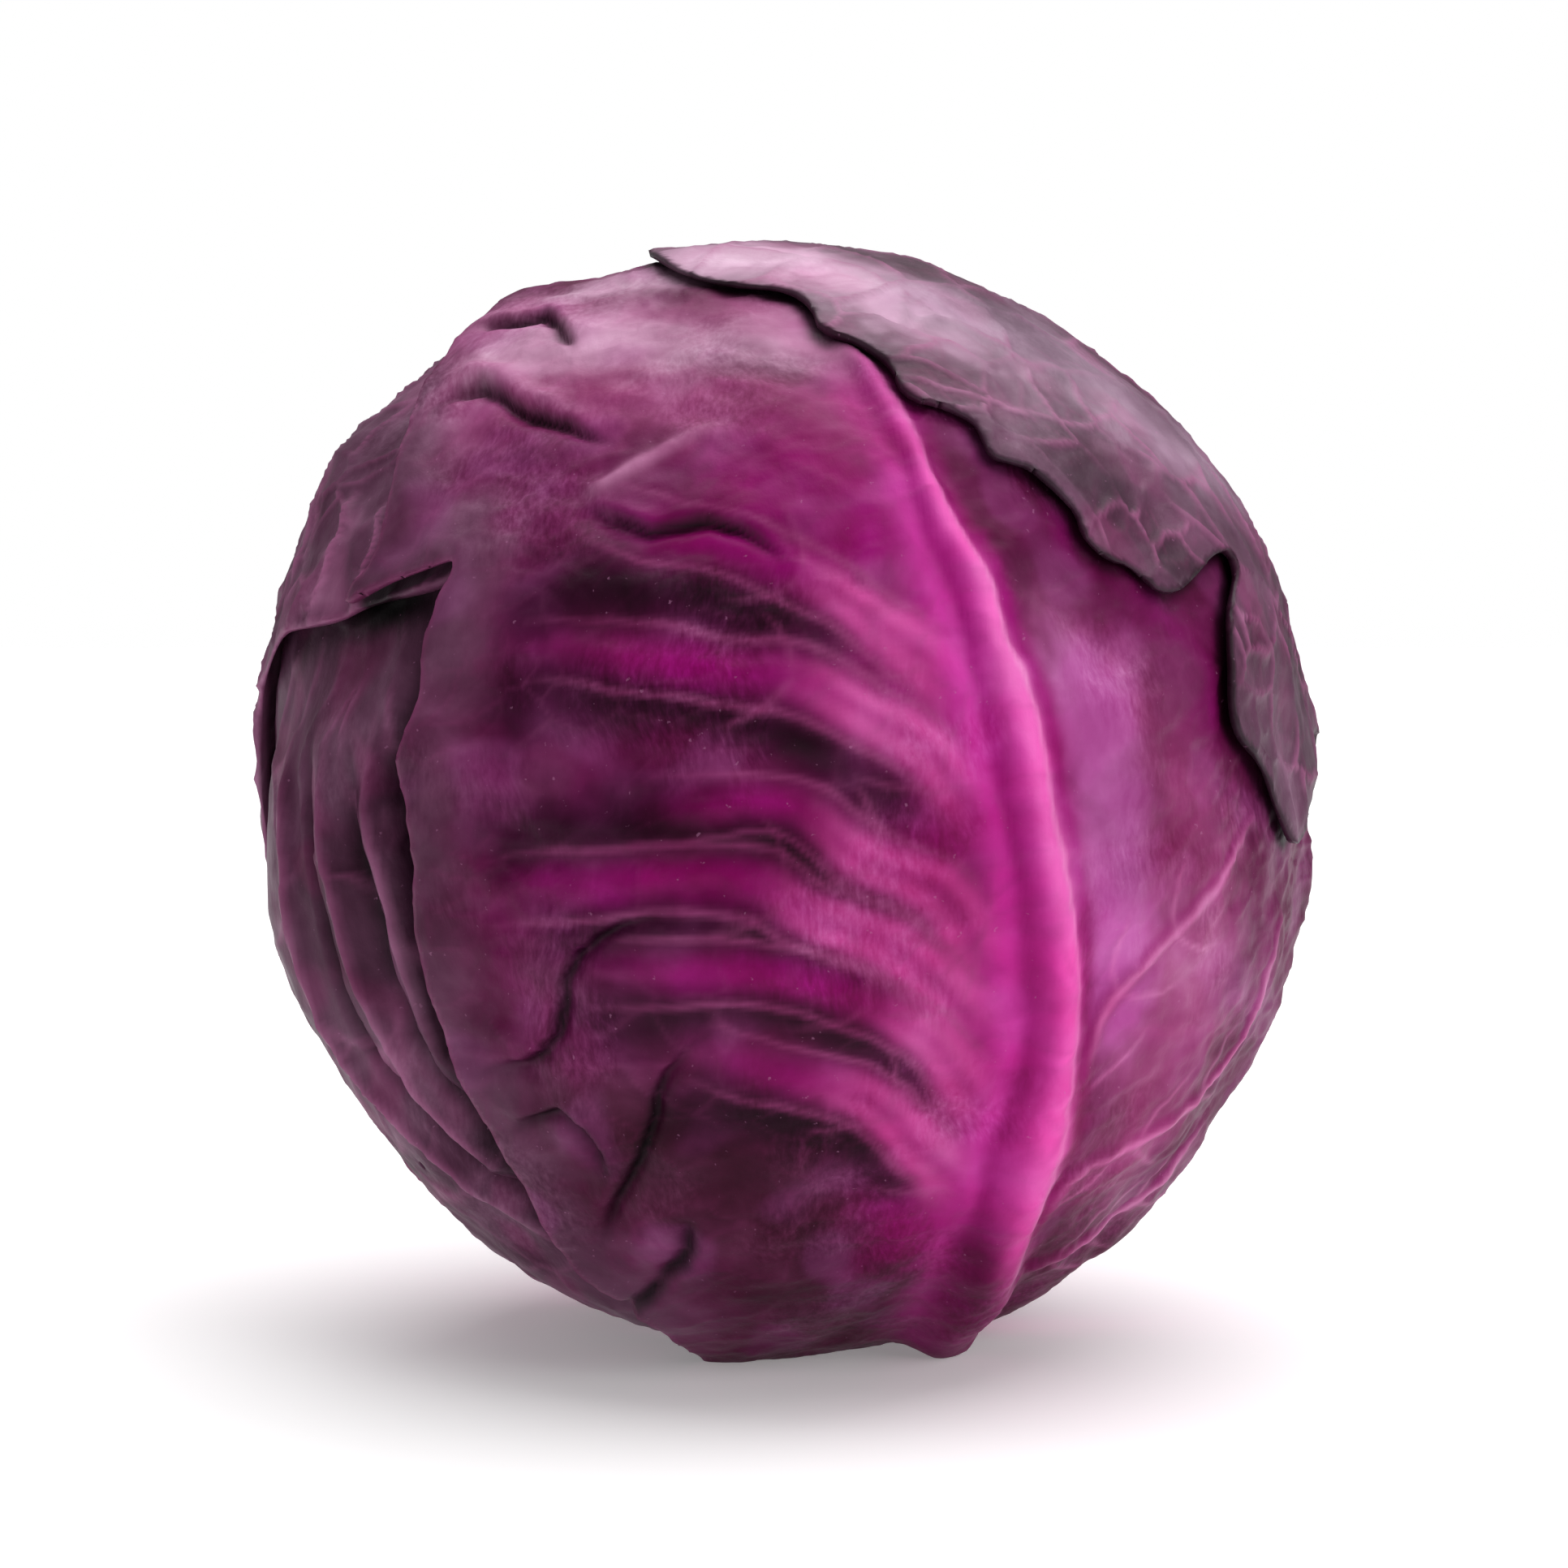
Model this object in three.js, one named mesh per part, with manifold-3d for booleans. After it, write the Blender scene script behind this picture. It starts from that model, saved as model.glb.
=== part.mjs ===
// Red cabbage head, standing on its trimmed butt. Millimetres, +Z up, front towards -Y, +X to the right.
// The origin is the middle of the stalk's cut face.
//
// The head is a ball of wrapper leaves round a heart and a tapering stalk. Every surface is a distance from
// the ball's middle that depends on the direction, so the leaves lie on each other like the coats of an
// onion: each starts just outside the ones below it and sinks back to the ball where they end.

import * as THREE from "three";
import { mergeVertices } from "three/addons/utils/BufferGeometryUtils.js";
import Module from "manifold-3d";

const wasm = await Module();
wasm.setup();

// ---------------------------------------------------------------------------------------------------------
// Driving dimensions, in millimetres and degrees

const MIDDLE_HEIGHT = 77; // middle of the ball above the cut butt
const HALF_WIDTH = 74.5; // from the middle to the left and to the right
const HALF_HEIGHT = 77; // from the middle to the crown
const HALF_DEPTH = 75; // from the middle to the front and to the back
const MEAN_RADIUS = 77; // turns an angle at the middle into a length on the ball

// Where the head's outline swells on the front drawing: the angle anticlockwise from the right and the spread
// in degrees. One is the upper left shoulder, and the other is the broad foot round the butt.
const BULGES = [
  { at: 133, spread: 22, height: 3 },
  { at: 270, spread: 25, height: 3 },
];

// The front drawing is seen from this far away and this much above the level.
const DRAWING_DISTANCE = 1000;
const DRAWING_TILT = 7;

// Dents and swells that all layers share: height, waves round the ball along X, Y and Z, and phase.
const SWELLS = [
  { height: 0.5, waves: [7, 2, 3], phase: 0.4 },
  { height: 0.4, waves: [-3, 6, 6], phase: 2.1 },
  { height: 0.35, waves: [4, 5, -9], phase: 4.0 },
];

const BLADE = 0.9; // thickness of a leaf between its ribs
const AIR = 0.6; // gap between leaves
const COVER_MARGIN = 5; // a leaf's bed stays full size this far beyond its edge
const COVER_FADE = 17; // and is gone this much further out
const LIFT_WIDTH = 12; // band along a free edge that stands off the leaf below
const EDGE_WAVES = [9, 20]; // waves round a leaf's edge, large and small
const HIDDEN_RIB_SHARE = 0.15; // how much of a rib is left where another leaf presses on it

const STALK_RADIUS = 14;
const STALK_CLEARANCE = 0.35;
// The stalk's outline from its cut face up to the tip of its core: radius and height.
const STALK_PROFILE = [[1, 0], [1, 7], [0.85, 15], [0.62, 32], [0.42, 48], [0.2, 58]];
const CORE_TIP_HEIGHT = 61;
const STALK_SIDES = 24;

const BALL_DETAIL = 8; // splits of each icosahedron edge
const FACE_SPACING = 10.5; // longest triangle edge on an outer face
const RIB_SPACING = 6.5; // the same beside a rib
const FRONT_RIB_SPACING = 4.6; // the same beside a rib of the front leaf
const SPLIT_PASSES = 2; // times that an edge may be halved
const OUTLINE_STEP = 8; // distance between points along a leaf's edge

// ---------------------------------------------------------------------------------------------------------
// Directions from the middle of the ball

const MIDDLE = new THREE.Vector3(0, 0, MIDDLE_HEIGHT);
const tilt = THREE.MathUtils.degToRad(DRAWING_TILT);
const DRAWING_UP = new THREE.Vector3(0, Math.sin(tilt), Math.cos(tilt));
const DRAWING_EYE = new THREE.Vector3(0, -Math.cos(tilt), Math.sin(tilt));

// The head's radius on the front drawing: an oval with its bulges.
function frontRadius(angle) {
  const middling = (HALF_HEIGHT + HALF_WIDTH) / 2;
  let radius = middling - ((HALF_HEIGHT - HALF_WIDTH) / 2) * Math.cos(2 * angle);
  for (const { at, spread, height } of BULGES) {
    const off = angle - THREE.MathUtils.degToRad(at);
    const turned = Math.atan2(Math.sin(off), Math.cos(off));
    radius += height * Math.exp(-((turned / THREE.MathUtils.degToRad(spread)) ** 2));
  }
  return radius;
}

// A point of the front drawing, in mm right of the middle and above the butt, as a direction.
function drawn([right, height]) {
  const up = height - MIDDLE_HEIGHT;
  const angle = Math.atan2(up, right);
  const share = Math.min(Math.hypot(right, up) / frontRadius(angle), 0.998);
  const far = DRAWING_DISTANCE / MEAN_RADIUS;
  const slope = share / Math.sqrt(far * far - 1);
  const away = Math.asin(Math.min((slope * far) / Math.hypot(1, slope), 1)) - Math.atan(slope);
  return DRAWING_EYE.clone()
    .multiplyScalar(Math.cos(away))
    .addScaledVector(new THREE.Vector3(1, 0, 0), Math.sin(away) * Math.cos(angle))
    .addScaledVector(DRAWING_UP, Math.sin(away) * Math.sin(angle));
}

// A direction by its azimuth, from the front towards the right, and its elevation.
function aimed([azimuth, elevation]) {
  const turn = THREE.MathUtils.degToRad(azimuth);
  const rise = THREE.MathUtils.degToRad(elevation);
  return new THREE.Vector3(Math.cos(rise) * Math.sin(turn), -Math.cos(rise) * Math.cos(turn), Math.sin(rise));
}

// The ball's radius with its swells, before any leaf is laid on it.
function headRadius(direction) {
  const up = direction.dot(DRAWING_UP);
  const outline = frontRadius(Math.atan2(up, direction.x));
  const sideways = direction.x ** 2 + up ** 2;
  let radius = HALF_DEPTH + (outline - HALF_DEPTH) * sideways;
  for (const { height, waves, phase } of SWELLS) {
    radius += height * Math.sin(direction.dot(new THREE.Vector3(...waves)) + phase);
  }
  return radius;
}

// ---------------------------------------------------------------------------------------------------------
// Curves on the ball

// A smooth curve through directions, cut into pieces about a given length apart.
function smoothPath(directions, closed, step) {
  const curve = new THREE.CatmullRomCurve3(directions, closed, "centripetal");
  const pieces = Math.max(2, Math.round((curve.getLength() * MEAN_RADIUS) / step));
  const points = curve.getSpacedPoints(pieces).map((point) => point.normalize());
  if (closed) {
    points.pop();
  }
  return points;
}

// The nearest place on a path: its distance in mm and its share of the way along.
function nearestOn(path, direction, closed = false) {
  const segment = new THREE.Line3();
  const foot = new THREE.Vector3();
  const last = closed ? path.length : path.length - 1;
  let distance = Infinity;
  let share = 0;
  for (let k = 0; k < last; k += 1) {
    segment.set(path[k], path[(k + 1) % path.length]);
    const along = segment.closestPointToPointParameter(direction, true);
    const away = segment.at(along, foot).distanceTo(direction);
    if (away < distance) {
      distance = away;
      share = (k + along) / last;
    }
  }
  return { distance: distance * MEAN_RADIUS, share };
}

// A leaf's edge in small waves towards and away from its heart point.
function wavedEdge(outline, heartPoint, depth) {
  return outline.map((point, k) => {
    const along = (2 * Math.PI * k) / outline.length;
    const wave = Math.sin(EDGE_WAVES[0] * along) + 0.5 * Math.sin(EDGE_WAVES[1] * along + 1);
    const inward = heartPoint.clone().projectOnPlane(point).normalize();
    return point.clone().addScaledVector(inward, (depth * wave) / MEAN_RADIUS).normalize();
  });
}

// A raised rib: it runs along a path, and its height and half width go from base to tip.
class Rib {
  constructor(directions, height, halfWidth) {
    this.path = smoothPath(directions, false, OUTLINE_STEP);
    this.height = height;
    this.halfWidth = halfWidth;
  }

  at(direction) {
    const { distance, share } = nearestOn(this.path, direction);
    const height = THREE.MathUtils.lerp(this.height[0], this.height[1], share);
    const halfWidth = THREE.MathUtils.lerp(this.halfWidth[0], this.halfWidth[1], share);
    return { relief: height * Math.exp(-((distance / halfWidth) ** 2)), near: distance < halfWidth };
  }
}

// Side veins that leave a midrib in pairs and bend towards its tip.
function pinnateVeins(midrib, { pairs, reach, height, halfWidth }) {
  const veins = [];
  for (let k = 0; k < pairs; k += 1) {
    const share = 0.12 + (0.7 * k) / pairs;
    const place = share * (midrib.length - 1);
    const start = midrib[Math.floor(place)];
    const onward = midrib[Math.floor(place) + 1].clone().sub(start).normalize();
    for (const side of [-1, 1]) {
      const sideways = new THREE.Vector3().crossVectors(onward, start).multiplyScalar(side);
      const length = (reach * (1 - 0.45 * share)) / MEAN_RADIUS;
      const points = [0, 0.33, 0.66, 1].map((t) =>
        start
          .clone()
          .addScaledVector(sideways, length * t * (1 - 0.2 * t))
          .addScaledVector(onward, length * t * (0.45 + 0.35 * t))
          .normalize(),
      );
      veins.push(new Rib(points, height, halfWidth));
    }
  }
  return veins;
}

// ---------------------------------------------------------------------------------------------------------
// Leaves

// One wrapper leaf. Its blade is what lies inside its outline, and its heart point sees the whole outline.
class Leaf {
  constructor({ name, colour, roughness, heartPoint, outline, ribs, lift, edgeDepth, ribSpacing = RIB_SPACING }) {
    this.name = name;
    this.colour = colour;
    this.roughness = roughness;
    this.lift = lift;
    this.ribs = ribs;
    this.ribSpacing = ribSpacing;
    this.heartPoint = aimed(heartPoint);
    this.east = new THREE.Vector3(0, 0, 1).cross(this.heartPoint).normalize();
    this.north = this.heartPoint.clone().cross(this.east);
    this.outline = wavedEdge(smoothPath(outline, true, OUTLINE_STEP), this.heartPoint, edgeDepth);
    this.flat = this.outline.map((point) => this.flatten(point));
    if (THREE.ShapeUtils.area(this.flat) < 0) {
      this.outline.reverse();
      this.flat.reverse();
    }
    this.reach = Math.max(...this.flat.map((point) => point.length()));
  }

  // The direction on a flat map round the heart point that keeps distances from it, in mm.
  flatten(direction) {
    const map = new THREE.Vector2(direction.dot(this.east), direction.dot(this.north));
    const angle = Math.atan2(map.length(), direction.dot(this.heartPoint));
    return map.setLength(angle * MEAN_RADIUS);
  }

  // Distance from the leaf's edge, less than zero inside it.
  edgeDistance(direction) {
    const spot = this.flatten(direction);
    if (spot.length() > this.reach + COVER_MARGIN + COVER_FADE) {
      return Infinity;
    }
    let inside = false;
    this.flat.forEach((a, k) => {
      const b = this.flat[(k + 1) % this.flat.length];
      const crosses = a.y > spot.y !== b.y > spot.y;
      if (crosses && spot.x < a.x + ((b.x - a.x) * (spot.y - a.y)) / (b.y - a.y)) {
        inside = !inside;
      }
    });
    const { distance } = nearestOn(this.outline, direction, true);
    return inside ? -distance : distance;
  }

  // How fully the leaf lies under what is outside it: one over its blade, fading to nothing beyond it.
  coverFrom(edge) {
    return 1 - THREE.MathUtils.smoothstep(edge, COVER_MARGIN, COVER_MARGIN + COVER_FADE);
  }

  // A free edge stands off the leaf below.
  liftFrom(edge) {
    return this.lift * THREE.MathUtils.smoothstep(edge, -LIFT_WIDTH, 0);
  }

  relief(direction) {
    return Math.max(0, ...this.ribs.map((rib) => rib.at(direction).relief));
  }

  besideRib(direction) {
    return this.ribs.some((rib) => rib.at(direction).near);
  }

  // The wedge of space that the outline cuts out of the ball.
  wedge() {
    const inner = 20;
    const outer = 400;
    const rim = this.outline.length;
    const points = [];
    for (const radius of [inner, outer]) {
      points.push(...[this.heartPoint, ...this.outline].map((point) => point.clone().multiplyScalar(radius)));
    }
    const far = rim + 1;
    const faces = [];
    for (let k = 0; k < rim; k += 1) {
      const a = 1 + k;
      const b = 1 + ((k + 1) % rim);
      faces.push([far, far + a, far + b], [0, b, a], [a, b, far + b], [a, far + b, far + a]);
    }
    return solidOf(points.map((point) => point.add(MIDDLE)), faces);
  }
}

// ---------------------------------------------------------------------------------------------------------
// Solids

function solidOf(points, faces) {
  const vertProperties = new Float32Array(points.flatMap((point) => point.toArray()));
  const triVerts = new Uint32Array(faces.flat());
  return new wasm.Manifold(new wasm.Mesh({ numProp: 3, vertProperties, triVerts }));
}

function solidOfGeometry(geometry) {
  geometry.deleteAttribute("normal");
  geometry.deleteAttribute("uv");
  const merged = mergeVertices(geometry, 1e-4);
  const vertProperties = new Float32Array(merged.attributes.position.array);
  return new wasm.Manifold(new wasm.Mesh({ numProp: 3, vertProperties, triVerts: merged.index.array }));
}

function meshOf(name, solid, colour, roughness) {
  const { vertProperties, triVerts } = solid.getMesh();
  const geometry = new THREE.BufferGeometry();
  geometry.setAttribute("position", new THREE.BufferAttribute(vertProperties, 3));
  geometry.setIndex(new THREE.BufferAttribute(triVerts, 1));
  geometry.computeVertexNormals();
  const mesh = new THREE.Mesh(geometry, new THREE.MeshStandardMaterial({ color: colour, roughness, metalness: 0 }));
  mesh.name = name;
  return mesh;
}

// Evenly spread directions and the triangles between them. Every layer uses the same ones, so that two
// layers never cross between their points.
function ballGrid() {
  const ball = new THREE.IcosahedronGeometry(1, BALL_DETAIL);
  ball.deleteAttribute("normal");
  ball.deleteAttribute("uv");
  const merged = mergeVertices(ball, 1e-4);
  const directions = [];
  for (let k = 0; k < merged.attributes.position.count; k += 1) {
    directions.push(new THREE.Vector3().fromBufferAttribute(merged.attributes.position, k).normalize());
  }
  const faces = [];
  for (let k = 0; k < merged.index.count; k += 3) {
    faces.push([0, 1, 2].map((corner) => merged.index.getX(k + corner)));
  }
  return { directions, faces };
}

// A triangle cut up at those of its edges that have a middle point. middles[k] is on the edge from corner k.
function splitFace(corners, middles) {
  const turned = (list, by) => [0, 1, 2].map((k) => list[(k + by) % 3]);
  const cuts = middles.filter((middle) => middle !== null).length;
  if (cuts === 0) {
    return [corners];
  }
  if (cuts === 1) {
    const first = middles.findIndex((middle) => middle !== null);
    const [a, b, c] = turned(corners, first);
    const [ab] = turned(middles, first);
    return [[a, ab, c], [ab, b, c]];
  }
  if (cuts === 2) {
    const whole = middles.indexOf(null);
    const [a, b, c] = turned(corners, whole);
    const [, bc, ca] = turned(middles, whole);
    return [[c, ca, bc], [a, b, bc], [a, bc, ca]];
  }
  const [a, b, c] = corners;
  const [ab, bc, ca] = middles;
  return [[a, ab, ca], [ab, b, bc], [ca, bc, c], [ab, bc, ca]];
}

// The grid with each edge halved, up to a few times, where it is longer than spacingAt allows at its middle.
function refinedGrid(grid, spacingAt) {
  const directions = [...grid.directions];
  let { faces } = grid;
  for (let pass = 0; pass < SPLIT_PASSES; pass += 1) {
    const middles = new Map();
    const middleOf = (a, b) => {
      const key = `${Math.min(a, b)}_${Math.max(a, b)}`;
      if (!middles.has(key)) {
        const middle = directions[a].clone().add(directions[b]).normalize();
        const length = directions[a].distanceTo(directions[b]) * MEAN_RADIUS;
        middles.set(key, length > spacingAt(middle) ? directions.push(middle) - 1 : null);
      }
      return middles.get(key);
    };
    faces = faces.flatMap(([a, b, c]) => splitFace([a, b, c], [middleOf(a, b), middleOf(b, c), middleOf(c, a)]));
  }
  return { directions, faces };
}

// The solid inside a surface that is given by its radius in each direction.
function ballSolid({ directions, faces }, radiusAt) {
  const points = directions.map((direction) => direction.clone().multiplyScalar(radiusAt(direction)).add(MIDDLE));
  return solidOf(points, faces);
}

// ---------------------------------------------------------------------------------------------------------
// The layers

// Everything that the surfaces need to know about one direction.
function layersAt(leaves, direction) {
  const edges = leaves.map((leaf) => leaf.edgeDistance(direction));
  const covers = leaves.map((leaf, k) => leaf.coverFrom(edges[k]));
  const free = covers.map((_, k) => covers.slice(k + 1).reduce((share, cover) => share * (1 - cover), 1));
  const bed = headRadius(direction) - AIR - covers.reduce((sum, cover) => sum + cover * (BLADE + AIR), 0);
  const thick = leaves.map((leaf, k) => {
    const share = THREE.MathUtils.lerp(HIDDEN_RIB_SHARE, 1, free[k]);
    return covers[k] > 0 ? BLADE + share * leaf.relief(direction) : BLADE;
  });
  const lifts = leaves.map((leaf, k) => leaf.liftFrom(edges[k]) * free[k]);
  return { edges, covers, free, bed, thick, lifts };
}

// Radius of a leaf's inner face.
function innerRadius(index, { covers, bed, thick, lifts }) {
  let radius = bed + AIR + lifts[index];
  for (let below = 0; below < index; below += 1) {
    radius += covers[below] * (thick[below] + AIR + lifts[below]);
  }
  return radius;
}

// ---------------------------------------------------------------------------------------------------------
// Ribs and veins of the front leaf, on the front drawing

const FRONT_MIDRIB = [
  [23, 0], [32, 17], [37, 34], [38, 51], [36, 68.5], [33, 85.5], [28, 103], [22, 118], [15, 133], [7, 143],
].map(drawn);

const FRONT_VEINS = [
  [[26, 91], [17, 99], [11, 103], [2, 108], [-8, 113], [-19, 115], [-30, 119]],
  [[28, 73], [21, 82], [11, 89], [2, 93], [-8, 95], [-21, 97], [-37, 97]],
  [[30, 51], [21, 63], [13, 67], [4, 73], [-5, 75], [-19, 74]],
  [[30, 40], [24, 48], [15, 55], [4, 59], [-3, 62], [-17, 65], [-28, 64], [-42, 62]],
  [[31, 29], [27, 34], [21, 41], [13, 46], [4, 49], [-10, 51], [-28, 51]],
  [[27, 19], [15, 29], [4, 34], [-8, 37], [-12, 39]],
  [[38, 29], [43, 40], [47, 48], [61, 63], [68, 74]],
  [[35, 14], [41, 23], [55, 31], [64, 41], [68, 51], [71, 60]],
  [[35, 10], [49, 19], [59, 30]],
].map((points) => points.map(drawn));

// Folds that stand up across the front leaf's upper left, and the pleat at its lower left.
const FRONT_FOLDS = [
  [[-42, 143], [-37, 145], [-32, 144.5], [-27, 143], [-20, 142]],
  [[-55, 132], [-51, 133.5], [-46, 136.5], [-41, 137.5], [-36, 135.5], [-30, 134], [-23, 131], [-15, 130]],
  [[-15, 60], [-26, 57], [-32, 52.5], [-32, 48], [-35, 43], [-42, 39]],
  [[-15, 40], [-18, 35], [-20, 28], [-22, 20], [-25, 12]],
].map((points) => points.map(drawn));

// ---------------------------------------------------------------------------------------------------------
// Leaf outlines. Parts that face the front are on the front drawing, and the rest by azimuth and elevation.

const LEFT_OUTLINE = [
  [-15, -81], [-2, -66], [-10, -40], [-16, -5], [-24, 28], [-50, 48], [-92, 56], [-130, 46], [-158, 20],
  [-166, -12], [-160, -45], [-148, -68], [-130, -81],
].map(aimed);

const RIGHT_OUTLINE = [
  [25, -81], [22, -62], [24, -30], [30, 4], [48, 34], [84, 50], [122, 46], [150, 20], [158, -14], [152, -46],
  [146, -66], [140, -81],
].map(aimed);

const BACK_OUTLINE = [
  [-130, -81], [-126, -62], [-122, -32], [-124, 2], [-134, 34], [-166, 58], [164, 56], [140, 32], [132, 0],
  [134, -34], [138, -62], [145, -81],
].map(aimed);

const UPPER_LEFT_OUTLINE = [
  ...[[-158, -81], [-153, -66], [-157, -40], [-162, -10], [-158, 18], [-164, 44], [176, 62], [110, 74]].map(aimed),
  ...[[-6, 147], [-22, 134], [-38, 118], [-50, 108], [-62, 103], [-67, 100], [-71, 97]].map(drawn),
  ...[[-92, 8], [-97, -10], [-101, -32], [-104, -54], [-108, -70], [-112, -81]].map(aimed),
];

const FRONT_OUTLINE = [
  ...[
    [-19, 5], [-28, 10], [-35, 19], [-41, 30], [-46.5, 41], [-51, 54], [-52, 65], [-52.5, 77],
    [-53, 80], [-51, 86], [-49.5, 91], [-49.5, 97], [-48, 105], [-46, 109.5], [-53, 107], [-61, 103],
    [-57, 109.5], [-55.5, 117.5], [-49, 136], [-43, 142.5],
  ].map(drawn),
  ...[
    [-119, 72], [180, 76], [132, 66], [112, 50], [104, 30], [98, 13], [90, -7], [84, -23], [82, -39], [78, -53],
    [72, -68], [66, -81], [-25, -81],
  ].map(aimed),
];

const TOP_OUTLINE = [
  ...[
    [-19, 152], [-15, 150], [-8, 148.5], [0, 148], [4, 146], [6, 143], [11, 141], [15, 137.5], [17, 133],
    [22, 131.5], [27, 129], [29, 124.5], [34, 123], [38, 120], [41.5, 117], [43, 114], [46.5, 111],
    [50.5, 109.5], [52.5, 107], [55, 105.5], [57.5, 107], [60, 110], [62, 110.5], [63, 108], [62.5, 101.5],
    [63, 94], [63.5, 88], [65, 84.5], [67, 82.5], [68.5, 80], [70, 75], [72, 70], [74, 77],
  ].map(drawn),
  ...[
    [92, 6], [100, -8], [104, -24], [108, -42], [112, -60], [116, -72], [120, -81], [176, -81], [172, -62],
    [173, -40], [175, -16], [172, 8], [178, 30], [-172, 48], [-160, 64],
  ].map(aimed),
];

// ---------------------------------------------------------------------------------------------------------
// The leaves, from the innermost to the outermost

// A midrib that goes up the ball from the butt, by azimuth and elevation, with its side veins.
function backLeafRibs(places, { height, halfWidth, pairs, reach }) {
  const midrib = new Rib(places.map(aimed), height, halfWidth);
  const veins = pinnateVeins(midrib.path, { pairs, reach, height: [0.8, 0.3], halfWidth: [2.2, 1.4] });
  return [midrib, ...veins];
}

const leaves = [
  new Leaf({
    name: "leaf_left",
    colour: 0x7d3a63,
    roughness: 0.5,
    lift: 0.6,
    edgeDepth: 1.6,
    heartPoint: [-92, -14],
    outline: LEFT_OUTLINE,
    ribs: backLeafRibs([[-96, -80], [-94, -55], [-90, -25], [-88, 5], [-90, 32]], {
      height: [3, 0.5], halfWidth: [6, 2], pairs: 3, reach: 54,
    }),
  }),
  new Leaf({
    name: "leaf_right",
    colour: 0x80305f,
    roughness: 0.5,
    lift: 0.6,
    edgeDepth: 1.6,
    heartPoint: [90, -14],
    outline: RIGHT_OUTLINE,
    ribs: backLeafRibs([[92, -80], [96, -55], [98, -25], [96, 5], [94, 28]], {
      height: [3, 0.5], halfWidth: [6, 2], pairs: 3, reach: 54,
    }),
  }),
  new Leaf({
    name: "leaf_back",
    colour: 0x743058,
    roughness: 0.5,
    lift: 0.8,
    edgeDepth: 1.8,
    heartPoint: [180, -10],
    outline: BACK_OUTLINE,
    ribs: backLeafRibs([[-170, -80], [-172, -55], [-174, -25], [-175, 5], [-176, 35]], {
      height: [3.2, 0.5], halfWidth: [6, 2], pairs: 3, reach: 54,
    }),
  }),
  new Leaf({
    name: "leaf_upper_left",
    colour: 0x86456c,
    roughness: 0.5,
    lift: 1.4,
    edgeDepth: 1.2,
    heartPoint: [-125, 22],
    outline: UPPER_LEFT_OUTLINE,
    ribs: backLeafRibs([[-138, -80], [-134, -55], [-130, -25], [-126, 5], [-118, 38], [-95, 62]], {
      height: [3.2, 0.5], halfWidth: [6, 2], pairs: 4, reach: 54,
    }),
  }),
  new Leaf({
    name: "leaf_front",
    colour: 0xa3307e,
    roughness: 0.45,
    lift: 1.6,
    edgeDepth: 0.5,
    ribSpacing: FRONT_RIB_SPACING,
    heartPoint: [0, 40],
    outline: FRONT_OUTLINE,
    ribs: [
      new Rib(FRONT_MIDRIB, [3.6, 0.8], [7, 2.2]),
      ...FRONT_VEINS.map((points) => new Rib(points, [1.1, 0.5], [3, 2])),
      ...FRONT_FOLDS.map((points) => new Rib(points, [1.8, 1.4], [3.5, 3])),
    ],
  }),
  new Leaf({
    name: "leaf_top",
    colour: 0x7a4a6c,
    roughness: 0.42,
    lift: 0.5,
    edgeDepth: 0.6,
    heartPoint: [120, 40],
    outline: TOP_OUTLINE,
    ribs: backLeafRibs([[150, -80], [146, -55], [142, -25], [140, 5], [138, 35], [130, 62]], {
      height: [3.4, 0.5], halfWidth: [6.5, 2], pairs: 4, reach: 58,
    }),
  }),
];

// ---------------------------------------------------------------------------------------------------------
// Assembly

// The stump and its core, or with a clearance the socket that they stand in.
function stalkSolid(clearance) {
  const profile = [new THREE.Vector2(0, -clearance)];
  for (const [share, height] of STALK_PROFILE) {
    profile.push(new THREE.Vector2(share * STALK_RADIUS + clearance, height === 0 ? -clearance : height));
  }
  profile.push(new THREE.Vector2(0, CORE_TIP_HEIGHT + clearance));
  const turned = new THREE.LatheGeometry(profile, STALK_SIDES);
  turned.rotateX(Math.PI / 2);
  return solidOfGeometry(turned);
}

// Everything below the butt's flat cut.
function groundSolid() {
  const size = 4 * MEAN_RADIUS;
  const block = new THREE.BoxGeometry(size, size, size);
  block.translate(0, 0, -size / 2);
  return solidOfGeometry(block);
}

const grid = ballGrid();
const stalkSocket = stalkSolid(STALK_CLEARANCE);
const ground = groundSolid();

// A leaf between its two faces, inside its outline, without the butt's cut and the stalk's socket.
function leafSolid(leaf, index) {
  const spacingAt = (direction) => {
    const edges = leaves.map((other) => other.edgeDistance(direction));
    const hidden = edges.slice(index + 1).some((edge) => edge < COVER_MARGIN);
    if (hidden || edges[index] > leaf.ribSpacing) {
      return Infinity;
    }
    return leaf.besideRib(direction) ? leaf.ribSpacing : FACE_SPACING;
  };
  const face = ballSolid(refinedGrid(grid, spacingAt), (direction) => {
    const layers = layersAt(leaves, direction);
    return innerRadius(index, layers) + layers.thick[index];
  });
  const back = ballSolid(grid, (direction) => innerRadius(index, layersAt(leaves, direction)));
  return face.subtract(back).intersect(leaf.wedge()).subtract(ground).subtract(stalkSocket);
}

const heart = ballSolid(grid, (direction) => layersAt(leaves, direction).bed).subtract(stalkSocket);

const cabbage = new THREE.Group();
cabbage.name = "red_cabbage_head";
cabbage.add(meshOf("stalk", stalkSolid(0), 0xc9b4c4, 0.6));
cabbage.add(meshOf("heart", heart, 0x6d2a55, 0.55));
leaves.forEach((leaf, index) => {
  cabbage.add(meshOf(leaf.name, leafSolid(leaf, index), leaf.colour, leaf.roughness));
});

export default cabbage;
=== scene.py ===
"""Looks of a red cabbage head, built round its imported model.

Each wrapper leaf is a fine closed shell that follows the same layers as the model's solids: a distance from
the middle of the ball for each direction. Marks raise ribs, veins and folds on it, and washes of colour lie
along the same kind of lines. Lengths are in millimetres until a mesh is placed.
"""

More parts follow.
